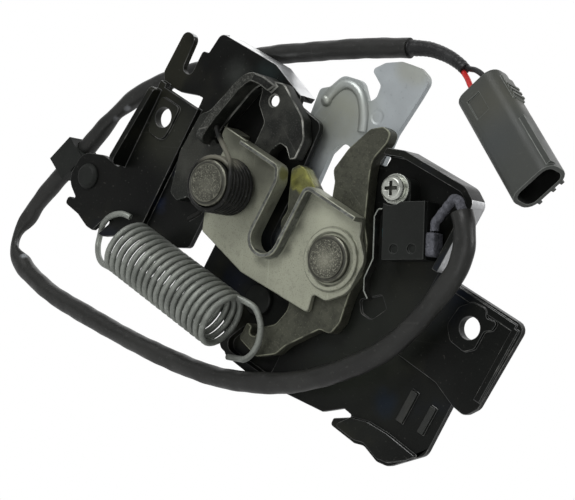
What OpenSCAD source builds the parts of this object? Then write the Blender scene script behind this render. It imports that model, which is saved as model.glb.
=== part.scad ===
// Bonnet latch with safety hook, bonnet switch and plug-in lead.
// X runs along the line of the two mounting holes, the front faces -Y and Z is up.
// The origin is midway between the mounting holes, in the plane the ears are bolted to.

/* [Mounting] */
// Distance between the two mounting holes
hole_spacing = 142; // [138:0.5:146]
// Diameter of each mounting hole
hole_d = 7; // [6:0.1:8]
// Height of the raised pad around each hole
pad_raise = 1; // [0.5:0.1:1.5]
// Sheet thickness of the bracket
sheet_t = 2.3; // [2:0.1:2.6]
// Height of the side wall at the foot of the left ear
wall_h = 8; // [6:0.5:10]
// Height of that wall at the top of the ear
wall_top = 4; // [3:0.5:5.5]
// Height of the rim around the switch pan
rim_h = 6; // [4:0.5:7]
// Depth of the flange along the top edge
flange_h = 6.5; // [4:0.5:7.5]

/* [Cover plate] */
// Width of the striker slot
slot_w = 10; // [9.6:0.1:10.4]
// Thickness of the cover plate
cover_t = 2; // [1.6:0.1:2.4]
// Height of the lip along the slot and the top edges
lip_h = 4; // [3:0.25:5]
// Thickness of that lip
lip_t = 1.6; // [1.4:0.1:2]
// Height of the boss under the ratchet pin head
boss_h = 0.6; // [0.4:0.1:1]
// Height of the ring around that head
ring_h = 0.5; // [0.3:0.1:0.8]

/* [Levers] */
// Thickness of the ratchet and the pawl
lever_t = 5; // [4.5:0.1:5.5]
// Height of the flange bent up from the pawl
flange_up = 6.7; // [5:0.1:7.5]
// Thickness of that flange
flange_t = 3; // [2.6:0.1:3.2]
// Radius of the bead along the safety hook's edge
bead_r = 2; // [1.6:0.1:2.2]
// Thickness of the safety hook sheet
hook_t = 2.3; // [2:0.1:2.6]
// Side gap on each face of a lever
side_gap = 0.3; // [0.25:0.05:0.5]
// Gap between the bracket and the safety hook
hook_gap = 2.3; // [2:0.1:2.8]

/* [Pins] */
// Shank diameter of the ratchet and pawl pins
pin_d = 10; // [9:0.25:10.5]
// Shank diameter of the safety hook pin
hook_pin_d = 8; // [7:0.25:8.5]
// Radial clearance between a pin and its bore
pin_clear = 0.05; // [0.03:0.01:0.08]
// Diameter of the ratchet and pawl pin heads
head_d = 15.2; // [14.4:0.1:15.6]
// Thickness of those heads
head_t = 2.6; // [2:0.1:3]
// Length of the spring seat on the pawl pin
seat_l = 12.6; // [11:0.2:13.6]
// Height of the riveted ends at the back
rivet_h = 1.4; // [1:0.1:1.6]

/* [Springs] */
// Wire diameter of the ratchet spring
spring_wire = 2.1; // [1.8:0.1:2.2]
// Outside diameter of the ratchet spring
spring_od = 20.4; // [19.4:0.2:20.8]
// Turns in the ratchet spring
spring_turns = 16; // [14:1:17]
// Reach of the pawl spring past its seat
coil_reach = 1.1; // [0.6:0.1:1.6]
// Wire diameter of the pawl spring
coil_wire = 1.7; // [1.5:0.1:1.8]
// Turns in the pawl spring
coil_turns = 6; // [5:1:7]
// Wire diameter of the safety hook spring
return_wire = 1.4; // [1.2:0.1:1.5]
// Turns in the safety hook spring
return_turns = 2; // [2:1:3]

/* [Switch] */
// Width of the switch body
switch_w = 15; // [14:0.25:15.5]
// Height of the switch body
switch_h = 18; // [17:0.25:18.5]
// Depth of the switch body
switch_d = 8.6; // [8:0.1:9]
// Diameter of the switch screw head
screw_head_d = 8; // [7.4:0.1:8.4]
// Thread diameter of the switch screw
screw_d = 4; // [3.6:0.1:4.2]
// Thickness of the switch leaf
leaf_t = 0.5; // [0.4:0.05:0.6]

/* [Lead] */
// Diameter of the lead sleeve
sleeve_d = 6.8; // [6.2:0.1:7]
// Diameter of the taped wires where they leave the sleeve
tape_d = 5.4; // [5:0.1:6]
// Diameter of each wire
wire_d = 1.8; // [1.5:0.1:2]
// Length of the plug housing
plug_l = 43; // [40:0.5:45]
// Width of the plug housing
plug_w = 15; // [14:0.25:16]
// Depth of the plug housing
plug_d = 10; // [9.6:0.1:10.6]
// Wall thickness of the plug housing
plug_wall = 1.3; // [1:0.1:1.5]
// Corner radius of the plug housing
plug_round = 3.8; // [3:0.1:4.4]

/* [Hidden] */
eps = 0.01;
fine = 48;
arc_steps = 5;

// Planes of the stack, front faces first: cover plate, levers, bracket, safety hook
lever_back = -side_gap;
lever_front = lever_back - lever_t;
cover_back = lever_front - side_gap;
cover_front = cover_back - cover_t;
lip_front = cover_front - lip_h;
hook_front = sheet_t + hook_gap;
hook_back = hook_front + hook_t;

// Places of the axes in the X-Z plane
ear_x = hole_spacing / 2;
ratchet_at = [19, -6];
pawl_at = [-27.4, -5];
hook_at = [-3, -33.3];
slot_x = -5.3;
step_x = -59.6;
pan_x = 53.7;
slot_foot = -17;
pin_r = pin_d / 2;
bore_r = pin_r + pin_clear;
head_r = head_d / 2;

// Pawl spring seat and its coil
seat_r = head_r - 0.3;
seat_front = cover_front - seat_l;
coil_r = head_r + 0.25 + coil_wire / 2;
coil_front = seat_front - coil_reach;
coil_y0 = cover_front - 0.7 - coil_wire / 2;
coil_pitch = (coil_y0 - coil_front) / (coil_turns + 0.5);

// Ratchet spring
spring_r = (spring_od - spring_wire) / 2;
spring_x0 = -53;
spring_x1 = -5;
spring_y = -12.6;
spring_z = -42.4;

// Safety hook spring at the back
hook_pin_r = hook_pin_d / 2;
hook_bore_r = hook_pin_r + pin_clear;
return_r = hook_pin_r + 0.6 + return_wire / 2;
return_l = return_wire * (return_turns + 1) + 0.4;
cap_front = hook_back + side_gap + return_l + 0.2;

// Switch, set at a slant in its pan
switch_at = [37.8, 14.8];
switch_turn = -30;
// Switch's right side that the tail's points are drawn from
tail_side = 7.5;
screw_local = [-4.5, 13.2];
leaf_root = [-9.5, 6.2];
screw_relief = screw_head_d / 2 + 1.3;
leaf_y = [cover_back - 3.2, cover_back - 0.2];

// Lead
sleeve_r = sleeve_d / 2;
wire_r = wire_d / 2;
plug_back = [33.2, 3, 63];
plug_turn = 20;
plug_tilt = 8;
clip_at = [-110.8, 10.4, -35.6];
clip_turn = 21;

// Point of the plug in the part's own frame
function plug_point(p) = let(
    x = p.x * cos(plug_tilt) + p.y * sin(plug_tilt),
    y = p.y * cos(plug_tilt) - p.x * sin(plug_tilt)
  ) plug_back + [x * cos(plug_turn) + p.z * sin(plug_turn), y, p.z * cos(plug_turn) - x * sin(plug_turn)];

function unit(v) = v / norm(v);

// Arc that rounds the corner p between a and b, limited by the shorter side
function corner(a, p, b, r) = let(
    u = unit(a - p),
    v = unit(b - p),
    half = acos(max(-1, min(1, u * v))) / 2,
    d = min(r / tan(half), 0.49 * norm(a - p), 0.49 * norm(b - p)),
    q = d * tan(half),
    c = p + unit(u + v) * q / sin(half),
    p0 = p + u * d,
    p1 = p + v * d,
    a0 = atan2(p0.y - c.y, p0.x - c.x),
    turn = ((atan2(p1.y - c.y, p1.x - c.x) - a0 + 540) % 360) - 180
  ) [for (i = [0:arc_steps]) c + q * [cos(a0 + turn * i / arc_steps), sin(a0 + turn * i / arc_steps)]];

// Outline from [x, z, radius] corners
function rounded(q) = let(n = len(q), xy = [for (p = q) [p[0], p[1]]]) [
    for (i = [0:n - 1])
      each q[i][2] == 0 ? [xy[i]] : corner(xy[(i + n - 1) % n], xy[i], xy[(i + 1) % n], q[i][2])
  ];

// Smooth path through points
function blend(a, b, c, d, t) = 0.5 * (2 * b + (c - a) * t + (2 * a - 5 * b + 4 * c - d) * t * t
    + (3 * b - a - 3 * c + d) * t * t * t);
function smooth(p, steps) = let(n = len(p)) concat([
    for (i = [0:n - 2], s = [0:steps - 1])
      blend(p[max(i - 1, 0)], p[i], p[i + 1], p[min(i + 2, n - 1)], s / steps)
  ], [p[n - 1]]);

// Directions and carried normals along a path
function headings(p) = let(n = len(p)) [for (i = [0:n - 1]) unit(p[min(i + 1, n - 1)] - p[max(i - 1, 0)])];
function carried(t, i, v) = i == len(t) ? [] : let(m = unit(v - t[i] * (v * t[i])))
    concat([m], carried(t, i + 1, m));

// Round wire or tube along a path, its radius one number or one for each point
module swept(path, r, sides) {
  n = len(path);
  reach = is_list(r) ? r : [for (i = [0:n - 1]) r];
  t = headings(path);
  side = abs(t[0].y) < 0.9 ? [0, 1, 0] : [1, 0, 0];
  m = carried(t, 0, side);
  pts = [for (i = [0:n - 1], s = [0:sides - 1])
    path[i] + reach[i] * (cos(360 * s / sides) * m[i] + sin(360 * s / sides) * cross(t[i], m[i]))];
  skin = [for (i = [0:n - 2], s = [0:sides - 1]) let(
      a = i * sides + s,
      b = i * sides + (s + 1) % sides
    ) each [[a, a + sides, b + sides], [a, b + sides, b]]];
  ends = [[for (s = [0:sides - 1]) s], [for (s = [sides - 1:-1:0]) (n - 1) * sides + s]];
  polyhedron(pts, concat(skin, ends), convexity = 8);
}

// Sheet with an outline in X-Z, from plane y0 back to plane y1
module sheet(outline, y0, y1) {
  translate([0, y1, 0])
    rotate([90, 0, 0])
      linear_extrude(y1 - y0)
        polygon(outline);
}

// Wall with an outline in Y-Z, from plane x0 to plane x1
module wall(outline, x0, x1) {
  translate([x0, 0, 0])
    rotate([90, 0, 90])
      linear_extrude(x1 - x0)
        polygon(outline);
}

// Round bar along Y at a place in X-Z
module bar(at, r, y0, y1) {
  translate([at.x, y1, at.y])
    rotate([90, 0, 0])
      cylinder(h = y1 - y0, r = r, $fn = fine);
}

// Box between two corners
module block(a, b) {
  translate(a)
    cube(b - a);
}

// Round head along Y with a bevelled front edge
module head(at, r, y0, y1, bevel) {
  translate([at.x, y1, at.y])
    rotate([90, 0, 0])
      rotate_extrude($fn = fine)
        polygon([[0, 0], [r, 0], [r, y1 - y0 - bevel], [r - bevel, y1 - y0], [0, y1 - y0]]);
}

// Main stamping
plate_outline = rounded([
  [-80, 9.6, 1], [-82.3, 13, 2], [-81.6, 29.6, 2.6], [-75.9, 29.6, 2.6], [-75.3, 16.8, 2.2],
  [-70.7, 16.8, 2.2], [-70.6, 26.6, 1.2], [-67.9, 27, 0.8], [-66.6, 35.4, 2.6], [-40, 36.1, 4],
  [-25, 31.6, 1.5], [-24.4, 28.6, 1], [-12.6, 27.4, 3], [-10.9, 5, 0], [11.6, 5.6, 2], [13.2, 9, 2],
  [13.3, 26.6, 0.8], [16.6, 27, 0.8], [16.8, 30.6, 0.6], [12.8, 29.6, 0.6], [12.6, 31.8, 0.8],
  [23.6, 35.7, 3], [48.6, 36.3, 5], [pan_x, 33.4, 3], [pan_x, -10, 0], [76.2, -12, 0], [76.8, -42, 4],
  [67.4, -52.2, 4], [63, -53.2, 3], [56.4, -51.6, 3], [53, -52.9, 2], [42.3, -52.8, 1], [42.2, -50.4, 0.8],
  [48.6, -46, 0.6], [44, -45.7, 0.6], [37.6, -51, 0.8], [8, -56.4, 2], [-6, -56.2, 3], [-13, -46, 4],
  [-29.6, -38.6, 3], [-29.6, -20, 2], [-38.6, -20, 2], [-38.8, -33.6, 2], [-50, -39.6, 4],
  [step_x - 2, -41.4, 0], [step_x - 2, 10.4, 0], [step_x - 2.2, 12.8, 0], [-64, 12.6, 1.5], [-71.3, 10.2, 3]
]);
left_ear = rounded([
  [step_x, 9, 0], [-ear_x - 6.6, 9, 1], [-ear_x - 9, 7, 1], [-ear_x - 9, -24.4, 1.5],
  [-ear_x - 17.6, -23.8, 6], [-ear_x - 27.4, -27.6, 6], [-ear_x - 28.2, -39, 6],
  [-ear_x - 20, -43.6, 1], [-ear_x - 24.6, -44, 1.2], [-ear_x - 24.6, -47, 1.2], [-ear_x - 17, -47.4, 2],
  [-ear_x - 11, -49.2, 4], [-ear_x - 2.4, -48.6, 4], [-63.4, -42.4, 3], [step_x, -41.4, 0]
]);
right_ear = rounded([
  [pan_x - 1.6, 9.2, 0], [ear_x + 15.6, 9.8, 3], [ear_x + 14.9, -19.4, 3.5], [ear_x + 12, -23.8, 3],
  [ear_x + 7, -23.4, 2], [ear_x - 2, -20.4, 3], [pan_x - 1.6, -20.2, 0]
]);
rim_outer = rounded([
  [17.2, 33.43, 0], [23.6, 35.7, 3], [48.6, 36.3, 5], [pan_x, 33.4, 3], [pan_x, 9.2, 0],
  [pan_x - sheet_t, 9.2, 0], [pan_x - sheet_t, 32.2, 2], [48, 36.3 - sheet_t, 4], [24, 35.7 - sheet_t, 2],
  [17.2, 31.1, 0]
]);
flange_outline = rounded([
  [-65, 35.44, 0], [-40, 36.1, 4], [-25.4, 31.7, 0], [-26, 31.9 - sheet_t, 0], [-40.3, 36.1 - sheet_t, 3],
  [-65, 35.44 - sheet_t, 0]
]);
pad_outline = rounded([
  [-4.7, -2, 0], [-4.7, 6.2, 1.5], [4.7, 6.2, 1.5], [4.7, -2, 0], [4, -7.4, 3.4], [-4, -7.4, 3.4]
]);
ear_pad = rounded([
  [-7.4, -3, 3], [-6.6, 3.6, 2.5], [-3.4, 7.2, 2.5], [2, 8, 2], [3.2, 5.4, 1], [7.4, 6.4, 1], [7, 3.2, 1],
  [4.8, 1.6, 1.5], [4.8, -4.6, 2], [2, -7.2, 2], [-4, -6.8, 2.5]
]);
low_flange = rounded([
  [48.2, -46.2, 0.5], [54.6, -44, 3], [62.3, -43.3, 3], [74.8, -43.6, 0.5], [72.6, -46.4, 1], [67, -51, 3],
  [63, -52, 3], [56.4, -50.4, 3], [53, -51.7, 2], [44, -51.7, 1]
]);
side_wall = rounded([
  [0, -23, 0], [-sheet_t - wall_h, -22.6, 2.5], [-sheet_t - wall_top, 7.4, 1.5], [0, 7.4, 0]
]);
hook_slot = rounded([
  [-ear_x - 1.9, -42.7, 1.2], [-ear_x - 4.4, -41.4, 1.2], [-ear_x - 8.6, -50.6, 0.5], [-ear_x - 6, -51.4, 0.5]
]);
pocket_outline = rounded([[-9, -54, 3], [-3.6, -43, 3], [13.6, -43, 3], [13.6, -53.2, 3]]);
pocket_wall = rounded([[-12.4, -55.4, 3], [-5, -41.6, 4], [15.6, -41.6, 4], [15.6, -54.8, 3]]);

module base_bracket() {
  color("#1f211f")
    difference() {
      union() {
        sheet(plate_outline, 0, sheet_t);
        sheet(pocket_wall, 0, 3 + sheet_t);
        sheet(left_ear, -sheet_t, 0);
        sheet(right_ear, -sheet_t, 0);
        block([step_x - 2, -sheet_t, -41.4], [step_x, sheet_t, 9]);
        block([pan_x - 1.6, -sheet_t, -20.2], [pan_x, sheet_t, 9.2]);
        wall(side_wall, -ear_x - 9, -ear_x - 9 + sheet_t);
        block([-ear_x - 9, -sheet_t, 6], [-ear_x - 6, sheet_t, 10.4]);
        sheet(rim_outer, -rim_h, sheet_t);
        sheet(flange_outline, 0, sheet_t + flange_h);
        translate([-ear_x, 0, 0])
          sheet(pad_outline, -sheet_t - pad_raise, 0);
        translate([ear_x, 0, 0])
          sheet(ear_pad, -sheet_t - pad_raise, 0);
        block([pan_x + 4, -sheet_t - 0.7, 6.4], [ear_x + 13, -sheet_t + 0.5, 8.8]);
        block([ear_x + 12.2, -sheet_t - 0.7, -17.6], [ear_x + 14.4, -sheet_t + 0.5, 7.6]);
        sheet(low_flange, -1.4, 0.5);
        block([62.4, -1.1, -38], [65, 0.5, -27]);
        block([70.8, -1.1, -37], [73, 0.5, -27.6]);
      }
      sheet(pocket_outline, -1, 3);
      bar([-ear_x, 0], hole_d / 2, -20, 20);
      bar([ear_x, 0], hole_d / 2, -20, 20);
      bar(ratchet_at, bore_r, -20, 20);
      bar(pawl_at, bore_r, -20, 20);
      bar(hook_at, hook_bore_r, -20, 20);
      bar([slot_x, slot_foot + slot_w / 2], slot_w / 2 + 0.3, -1, 20);
      block([slot_x - slot_w / 2 - 0.3, -1, slot_foot + slot_w / 2], [slot_x + slot_w / 2 + 0.3, 20, 26]);
      sheet(hook_slot, -20, 20);
      bar(cable_clear, cable_r + 1.3, -1, 20);
      bar([-ear_x - 20, -33.6], 3.3, -20, 20);
      switch_place()
        bar(screw_local, screw_d / 2 + pin_clear, -20, 20);
      tongue_cut();
    }
}

// Lanced tongue beside the ratchet
tongue_outline = rounded([
  [30.6, -13.4, 1], [33.4, -16.8, 1.5], [37.6, -16.8, 1.5], [40.8, -11, 1], [37, -8, 1]
]);

module tongue_cut() {
  sheet(tongue_outline, -1, 0.9);
}

// Zinc-plated cover over the levers
slot_l = slot_x - slot_w / 2;
slot_r = slot_x + slot_w / 2;
cover_outline = rounded([
  [-42, 10.7, 1], [slot_l - 2.4, 10.7, 3], [slot_l, 6, 5], [slot_l, slot_foot, slot_w / 2 - 0.01],
  [slot_r, slot_foot, slot_w / 2 - 0.01], [slot_r, 10.7, 3], [22.2, 10.7, 1], [25, 4.6, 2],
  [30.2, 0, 6], [30.2, -12, 8], [24, -18.4, 3], [18.6, -18.8, 1], [20.4, -25, 1.2], [-10, -27.2, 3],
  [-31.6, -23.6, 1], [-34, -18, 3], [-38.4, -10, 6], [-38.4, 5.2, 3], [-42, 7.6, 1]
]);
lip_outline = rounded([
  [-31, 10.7, 0], [slot_l - 2.4, 10.7, 3], [slot_l, 6, 5], [slot_l, slot_foot, slot_w / 2 - 0.01],
  [slot_r, slot_foot, slot_w / 2 - 0.01], [slot_r, 10.7, 3], [22.2, 10.7, 0], [22.2, 10.7 - lip_t, 0],
  [slot_r + lip_t, 10.7 - lip_t, 1.4], [slot_r + lip_t, slot_foot - lip_t, slot_w / 2 + lip_t - 0.02],
  [slot_l - lip_t, slot_foot - lip_t, slot_w / 2 + lip_t - 0.02], [slot_l - lip_t, 5.4, 4],
  [slot_l - lip_t - 1.6, 10.7 - lip_t, 1.4], [-31, 10.7 - lip_t, 0]
]);

module cover_plate() {
  color("#9ea08f")
    difference() {
      union() {
        sheet(cover_outline, cover_front, cover_back);
        sheet(lip_outline, lip_front, cover_back);
        bar(ratchet_at, 10.2, cover_front - boss_h - ring_h, cover_back);
        block([-42, cover_front + 0.4, 10.7 - lip_t], [-36, 0, 10.7]);
      }
      bar(ratchet_at, head_r + 0.9, -20, cover_front - boss_h);
      bar(ratchet_at, bore_r, -20, 20);
      bar(pawl_at, bore_r, -20, 20);
    }
}

// Fork that takes the striker
ratchet_outline = rounded([
  [8.2, 35.6, 2], [12, 38.4, 2], [15.6, 38.2, 2], [16.2, 34.6, 3], [14.2, 27.6, 6], [15.6, 23.6, 5],
  [22.6, 9, 8], [27, 4, 6], [30.4, -4, 8], [29.4, -12.6, 5], [31.2, -22, 3], [30, -27, 2], [25.6, -27.8, 2],
  [17.2, -38.8, 2], [15.2, -43.4, 3], [8.8, -48.2, 2], [-0.4, -46.6, 1.2], [-0.4, -40.4, 0.8],
  [2.2, -40.4, 0.8], [2.2, -43, 0.9], [4.8, -43, 0.9], [5.4, -39, 1.5], [9.8, -35.2, 4], [11.4, -29, 5],
  [8, -18, 5], [7, -11, 3], [-3, -10, 3], [-6.6, -6, 3], [-6, -1.6, 3], [-9.2, 4.6, 4], [-12, 10.8, 1.4],
  [-9.8, 13.4, 1.4], [-6.8, 13.2, 1.4], [0.6, 9.4, 3], [3.6, 2.4, 3.4], [9.6, 3.4, 3], [5.2, 15, 3],
  [2.5, 18, 2.5], [4.2, 26.6, 8]
]);

module ratchet() {
  color("#4a4840")
    difference() {
      sheet(ratchet_outline, lever_front, lever_back);
      bar(ratchet_at, bore_r, -20, 20);
    }
}

// Release lever that holds the ratchet
pawl_outline = rounded([
  [-52.6, 11.6, 4], [-47.4, 26, 3], [-43.4, 30.4, 3], [-36.6, 31.4, 6], [-29.6, 33, 4], [-17, 26.8, 5],
  [-12.6, 21, 4], [-12.4, 14, 0.8], [-14.4, 12.6, 0.6], [-17.4, 15.4, 1], [-20.4, 15.6, 1.2], [-23, 11, 3],
  [-17.2, 3, 6], [-17.2, -13, 8], [-30, -17.6, 8], [-45, -17.6, 2], [-48.4, -21, 1.5], [-52.6, -20, 2],
  [-56.6, -6, 6], [-55.6, 9, 4]
]);
window_outline = rounded([
  [-45.6, 4.6, 1], [-44.2, 11, 6], [-41.8, 19, 6], [-39.7, 26, 2], [-37, 28.6, 2], [-35.4, 22.6, 2],
  [-30, 18.6, 2], [-29.6, 9.4, 3], [-38, 6.6, 2], [-44, 3.4, 3]
]);
cable_hole = [-30.2, 26.4];
cable_r = 1.9;

// Wider cuts behind the cable hole, in the lever and in the plate, along the slanted run of the cable
cable_relief = cable_hole - [2.6, 0.5];
cable_clear = cable_hole - [4.7, 1.1];

flange_front = lever_front - flange_up;
flange_line = smooth([
  [-47.5, 1.8], [-46.9, 5.2], [-45.9, 10.9], [-43.8, 18.5], [-41.5, 25.8], [-38.9, 29.8], [-35.6, 30.6],
  [-32.4, 29.6]
], 3);
flange_foot = [
  [flange_front - 1, 0], [flange_front - 1, 5.2], [flange_front, 5.2], [flange_front + 0.5, 3.8],
  [flange_front + 1.6, 2.6], [flange_front + 3.2, 1.9], [flange_front + 4, 0]
];

// Flange round the window's left edge, its foot rounded and its right end running out into the plate
module pawl_flange() {
  difference() {
    strip(flange_line, flange_t, flange_front, lever_back - 0.4);
    wall(flange_foot, -55, -40);
    linear_extrude(60)
      polygon([[-38, flange_front - 1], [-28, flange_front - 1], [-28, lever_front], [-31, lever_front]]);
  }
}

module pawl() {
  color("#4d4b44")
    difference() {
      union() {
        difference() {
          sheet(pawl_outline, lever_front, lever_back);
          sheet(window_outline, -20, 20);
        }
        pawl_flange();
      }
      bar(pawl_at, bore_r, -20, 20);
      bar(cable_hole, cable_r, -20, 20);
      bar(cable_relief, cable_r + 0.7, lever_front + 1.6, 20);
    }
}

// Riveted pins
module ratchet_pin() {
  color("#6b695f") {
    head(ratchet_at, head_r, cover_front - boss_h - head_t, cover_front - boss_h, 0.8);
    bar(ratchet_at, pin_r, cover_front - boss_h - eps, sheet_t + eps);
    bar(ratchet_at, pin_r + 1.6, sheet_t, sheet_t + rivet_h);
  }
}

module pawl_pin() {
  color("#6b695f") {
    head(pawl_at, head_r, seat_front - head_t, seat_front, 0.8);
    bar(pawl_at, pin_r, seat_front - eps, sheet_t + eps);
    bar(pawl_at, pin_r + 1.6, sheet_t, sheet_t + rivet_h);
  }
}

module spring_seat() {
  color("#1b1b1b")
    difference() {
      bar(pawl_at, seat_r, seat_front, cover_front);
      bar(pawl_at, bore_r, -40, 0);
    }
}

// Pawl spring: back leg at the cover edge, coil on the seat, front leg inside the pawl's flange
coil_path = concat(
  [[-37.4, coil_y0, -22.6], [-34.4, coil_y0, -18.4]],
  [for (i = [0:coil_turns * 16 + 8]) let(a = 215 + 360 * i / 16)
    [pawl_at.x + coil_r * cos(a), coil_y0 - coil_pitch * i / 16, pawl_at.y + coil_r * sin(a)]],
  smooth([[-21.6, coil_front + 0.5, 1.8], [-24.6, coil_front + 2, 3.9], [-28.3, coil_front + 4, 5.2],
    [-34.4, coil_front + 7.2, 6.5], [-40, coil_front + 9.6, 8], [-42.9, coil_front + 11, 9.4]], 4)
);

module pawl_spring() {
  color("#3d3d3a")
    swept(coil_path, coil_wire / 2, 6);
}

// Ratchet spring: hook in the left ear, close coil, hook round the ratchet tail
spring_path = concat(
  smooth([[-ear_x + 7.6, -5, -35.6], [-ear_x + 3.6, -5.4, -36.4], [-ear_x - 0.8, -4.8, -39.7],
    [-ear_x - 4.1, -2.6, -44.1], [-ear_x - 5.9, 0, -47.6], [-ear_x - 6.5, 1.5, -50.4],
    [-ear_x - 5.1, 1.2, -53.6], [-ear_x - 0.4, -1.8, -55.3], [-ear_x + 6, -6, -55],
    [spring_x0 - 2, spring_y, spring_z - spring_r - 0.4]], 4),
  [for (i = [0:spring_turns * 16 + 8]) let(a = -90 - 360 * i / 16)
    [spring_x0 + (spring_x1 - spring_x0) * i / (spring_turns * 16 + 8),
      spring_y + spring_r * cos(a), spring_z + spring_r * sin(a)]],
  smooth([[spring_x1 + 3.6, spring_y, spring_z + spring_r + 0.6], [3.8, -11.4, -32.8], [8, -10, -36.8],
    [9.4, -8.6, -42.3], [8.6, -7.6, -47.2], [6, -6, -50.8], [2.4, -3.6, -52.8], [-2.8, -2.4, -55.2]], 4)
);

module ratchet_spring() {
  color("#82877f")
    swept(spring_path, spring_wire / 2, 6);
}

// Safety hook with its pin, spacer, spring and cap behind the bracket
hook_outline = rounded([
  [-7.9, 50.6, 1.2], [-4.3, 54.7, 3], [1.2, 57.8, 4], [8, 58.9, 4], [13.6, 57.4, 3], [13.2, 50.6, 4],
  [11.6, 36.6, 6], [13, 18, 8], [11, -8, 10], [5.4, -30, 3], [5.6, -40.9, 7], [-11.4, -40.9, 7],
  [-11.6, -28, 6], [-16.6, 2, 8], [-21.6, 26, 6], [-22.8, 36.4, 2], [-19.6, 38.6, 2], [-16.8, 44.2, 4],
  [-9.2, 45.8, 4], [-3.4, 40.6, 1.5], [-1.4, 43.6, 2.5], [-2, 47.6, 1.6]
]);
arch_outline = rounded([
  [-7.6, 20, 3], [-5.6, 25, 2], [-1.6, 25.6, 2.5], [5, 15, 3], [4.4, 4, 3], [-6.6, 4, 3]
]);

bead_y = hook_front + 0.6;
bead_path = smooth([
  [-18.4, bead_y, 34.3], [-18, bead_y, 36.6], [-16.6, bead_y, 40], [-14, bead_y, 42.4], [-10.6, bead_y, 42.8],
  [-7.1, bead_y, 41.5], [-4.3, bead_y, 38.7], [-2, bead_y, 35.2], [-0.4, bead_y, 31.6]
], 2);

module safety_hook() {
  color("#b4b8b8")
    difference() {
      union() {
        sheet(hook_outline, hook_front, hook_back);
        swept(bead_path, bead_r, 12);
        translate(bead_path[0])
          sphere(r = bead_r + 0.3, $fn = 20);
      }
      sheet(arch_outline, -20, 40);
      bar(hook_at, hook_bore_r, -20, 40);
      bar([hook_at.x, hook_at.y + 11.4], return_wire / 2 + 0.4, -20, 40);
    }
}

module hook_pin() {
  color("#5d5e5a") {
    head(hook_at, hook_pin_r + 1.2, -1.8, 0, 0.5);
    bar(hook_at, hook_pin_r, -eps, cap_front);
  }
}

module hook_spacer() {
  color("#77786f")
    difference() {
      bar(hook_at, hook_pin_r + 2.4, sheet_t, hook_front - side_gap);
      bar(hook_at, hook_bore_r, -1, 20);
    }
}

module hook_cap() {
  color("#5d5e5a")
    head_back(hook_at, hook_pin_r + 2.6, cap_front, cap_front + 1.6);
}

// Round cap that faces the back
module head_back(at, r, y0, y1) {
  translate([at.x, y0, at.y])
    rotate([-90, 0, 0])
      rotate_extrude($fn = fine)
        polygon([[0, 0], [r, 0], [r, (y1 - y0) / 2], [r - 0.8, y1 - y0], [0, y1 - y0]]);
}

// Return spring of the safety hook: one leg in the hook, the other on the bracket edge
return_y0 = hook_back + side_gap + return_wire / 2;
return_path = concat(
  [[hook_at.x, hook_front + 0.4, hook_at.y + 11.4], [hook_at.x, return_y0 - 0.5, hook_at.y + 11.4],
    [hook_at.x - 2.6, return_y0, hook_at.y + 9]],
  [for (i = [0:return_turns * 16 + 4]) let(a = 150 + 360 * i / 16)
    [hook_at.x + return_r * cos(a), return_y0 + return_wire * 1.05 * i / 16, hook_at.y + return_r * sin(a)]],
  [[hook_at.x + 9, return_y0 + return_l - return_wire, hook_at.y - 10],
    [hook_at.x + 16, return_y0 + return_l - return_wire, hook_at.y - 5.4],
    [hook_at.x + 19.4, return_y0 + return_l - return_wire - 0.6, hook_at.y - 3],
    [hook_at.x + 20.4, return_y0 - 2, hook_at.y - 2.2],
    [hook_at.x + 20.4, sheet_t + 0.05, hook_at.y - 2.2]]
);

module hook_spring() {
  color("#8d908b")
    swept(return_path, return_wire / 2, 6);
}

// Bonnet switch
module switch_place() {
  translate([switch_at.x, 0, switch_at.y])
    rotate([0, switch_turn, 0])
      children();
}

module switch_body() {
  color("#232524")
    switch_place()
      difference() {
        union() {
          block([-switch_w / 2, -switch_d + 1.6, -switch_h / 2], [switch_w / 2, 0, switch_h / 2]);
          sheet(rounded([
            [-switch_w / 2, switch_h / 2 - 1, 0], [switch_w / 2 - 7, switch_h / 2 - 1, 0],
            [0.6, 17, 3], [-8.6, 17, 3]
          ]), -switch_d + 3, 0);
        }
        bar(screw_local, screw_d / 2 + pin_clear, -20, 20);
        bar(screw_local, screw_relief, -20, -switch_d + 3);
        block([-switch_w / 2 - 1, -switch_d + 1.4, -2.2], [-switch_w / 2 + 3, -switch_d + 3.8, 1.4]);
      }
}

module switch_cover() {
  color("#2b2d2c")
    switch_place()
      difference() {
        block([-switch_w / 2, -switch_d, -switch_h / 2], [switch_w / 2, -switch_d + 1.6, switch_h / 2]);
        bar(screw_local, screw_relief, -20, 0);
        bar([-3.2, -5.6], 1.5, -switch_d - 1, -switch_d + 0.8);
        bar([3.2, -5.6], 1.5, -switch_d - 1, -switch_d + 0.8);
      }
}

module switch_plunger() {
  color("#14707a")
    switch_place()
      block([-switch_w / 2 - 1.2, -switch_d + 1.8, -2], [-switch_w / 2 + 3, -switch_d + 3.6, 1.2]);
}

leaf_outline = [
  [-7.6, 6.9], [-8.9, 6.9], leaf_root, [-10.4, 4.6], [-10.4, -8.6], [-13.4, -14.6], [-13.4, -18.6], [-12, -21]
];

// Thin strip along a polyline of the X-Z plane
module strip(p, t, y0, y1) {
  n = len(p);
  d = [for (i = [0:n - 1]) unit(p[min(i + 1, n - 1)] - p[max(i - 1, 0)])];
  left = [for (i = [0:n - 1]) p[i] + t / 2 * [-d[i].y, d[i].x]];
  right = [for (i = [n - 1:-1:0]) p[i] - t / 2 * [-d[i].y, d[i].x]];
  sheet(concat(left, right), y0, y1);
}

module switch_leaf() {
  color("#c3c6c2")
    switch_place()
      strip(leaf_outline, leaf_t, leaf_y[0], leaf_y[1]);
}

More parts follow.
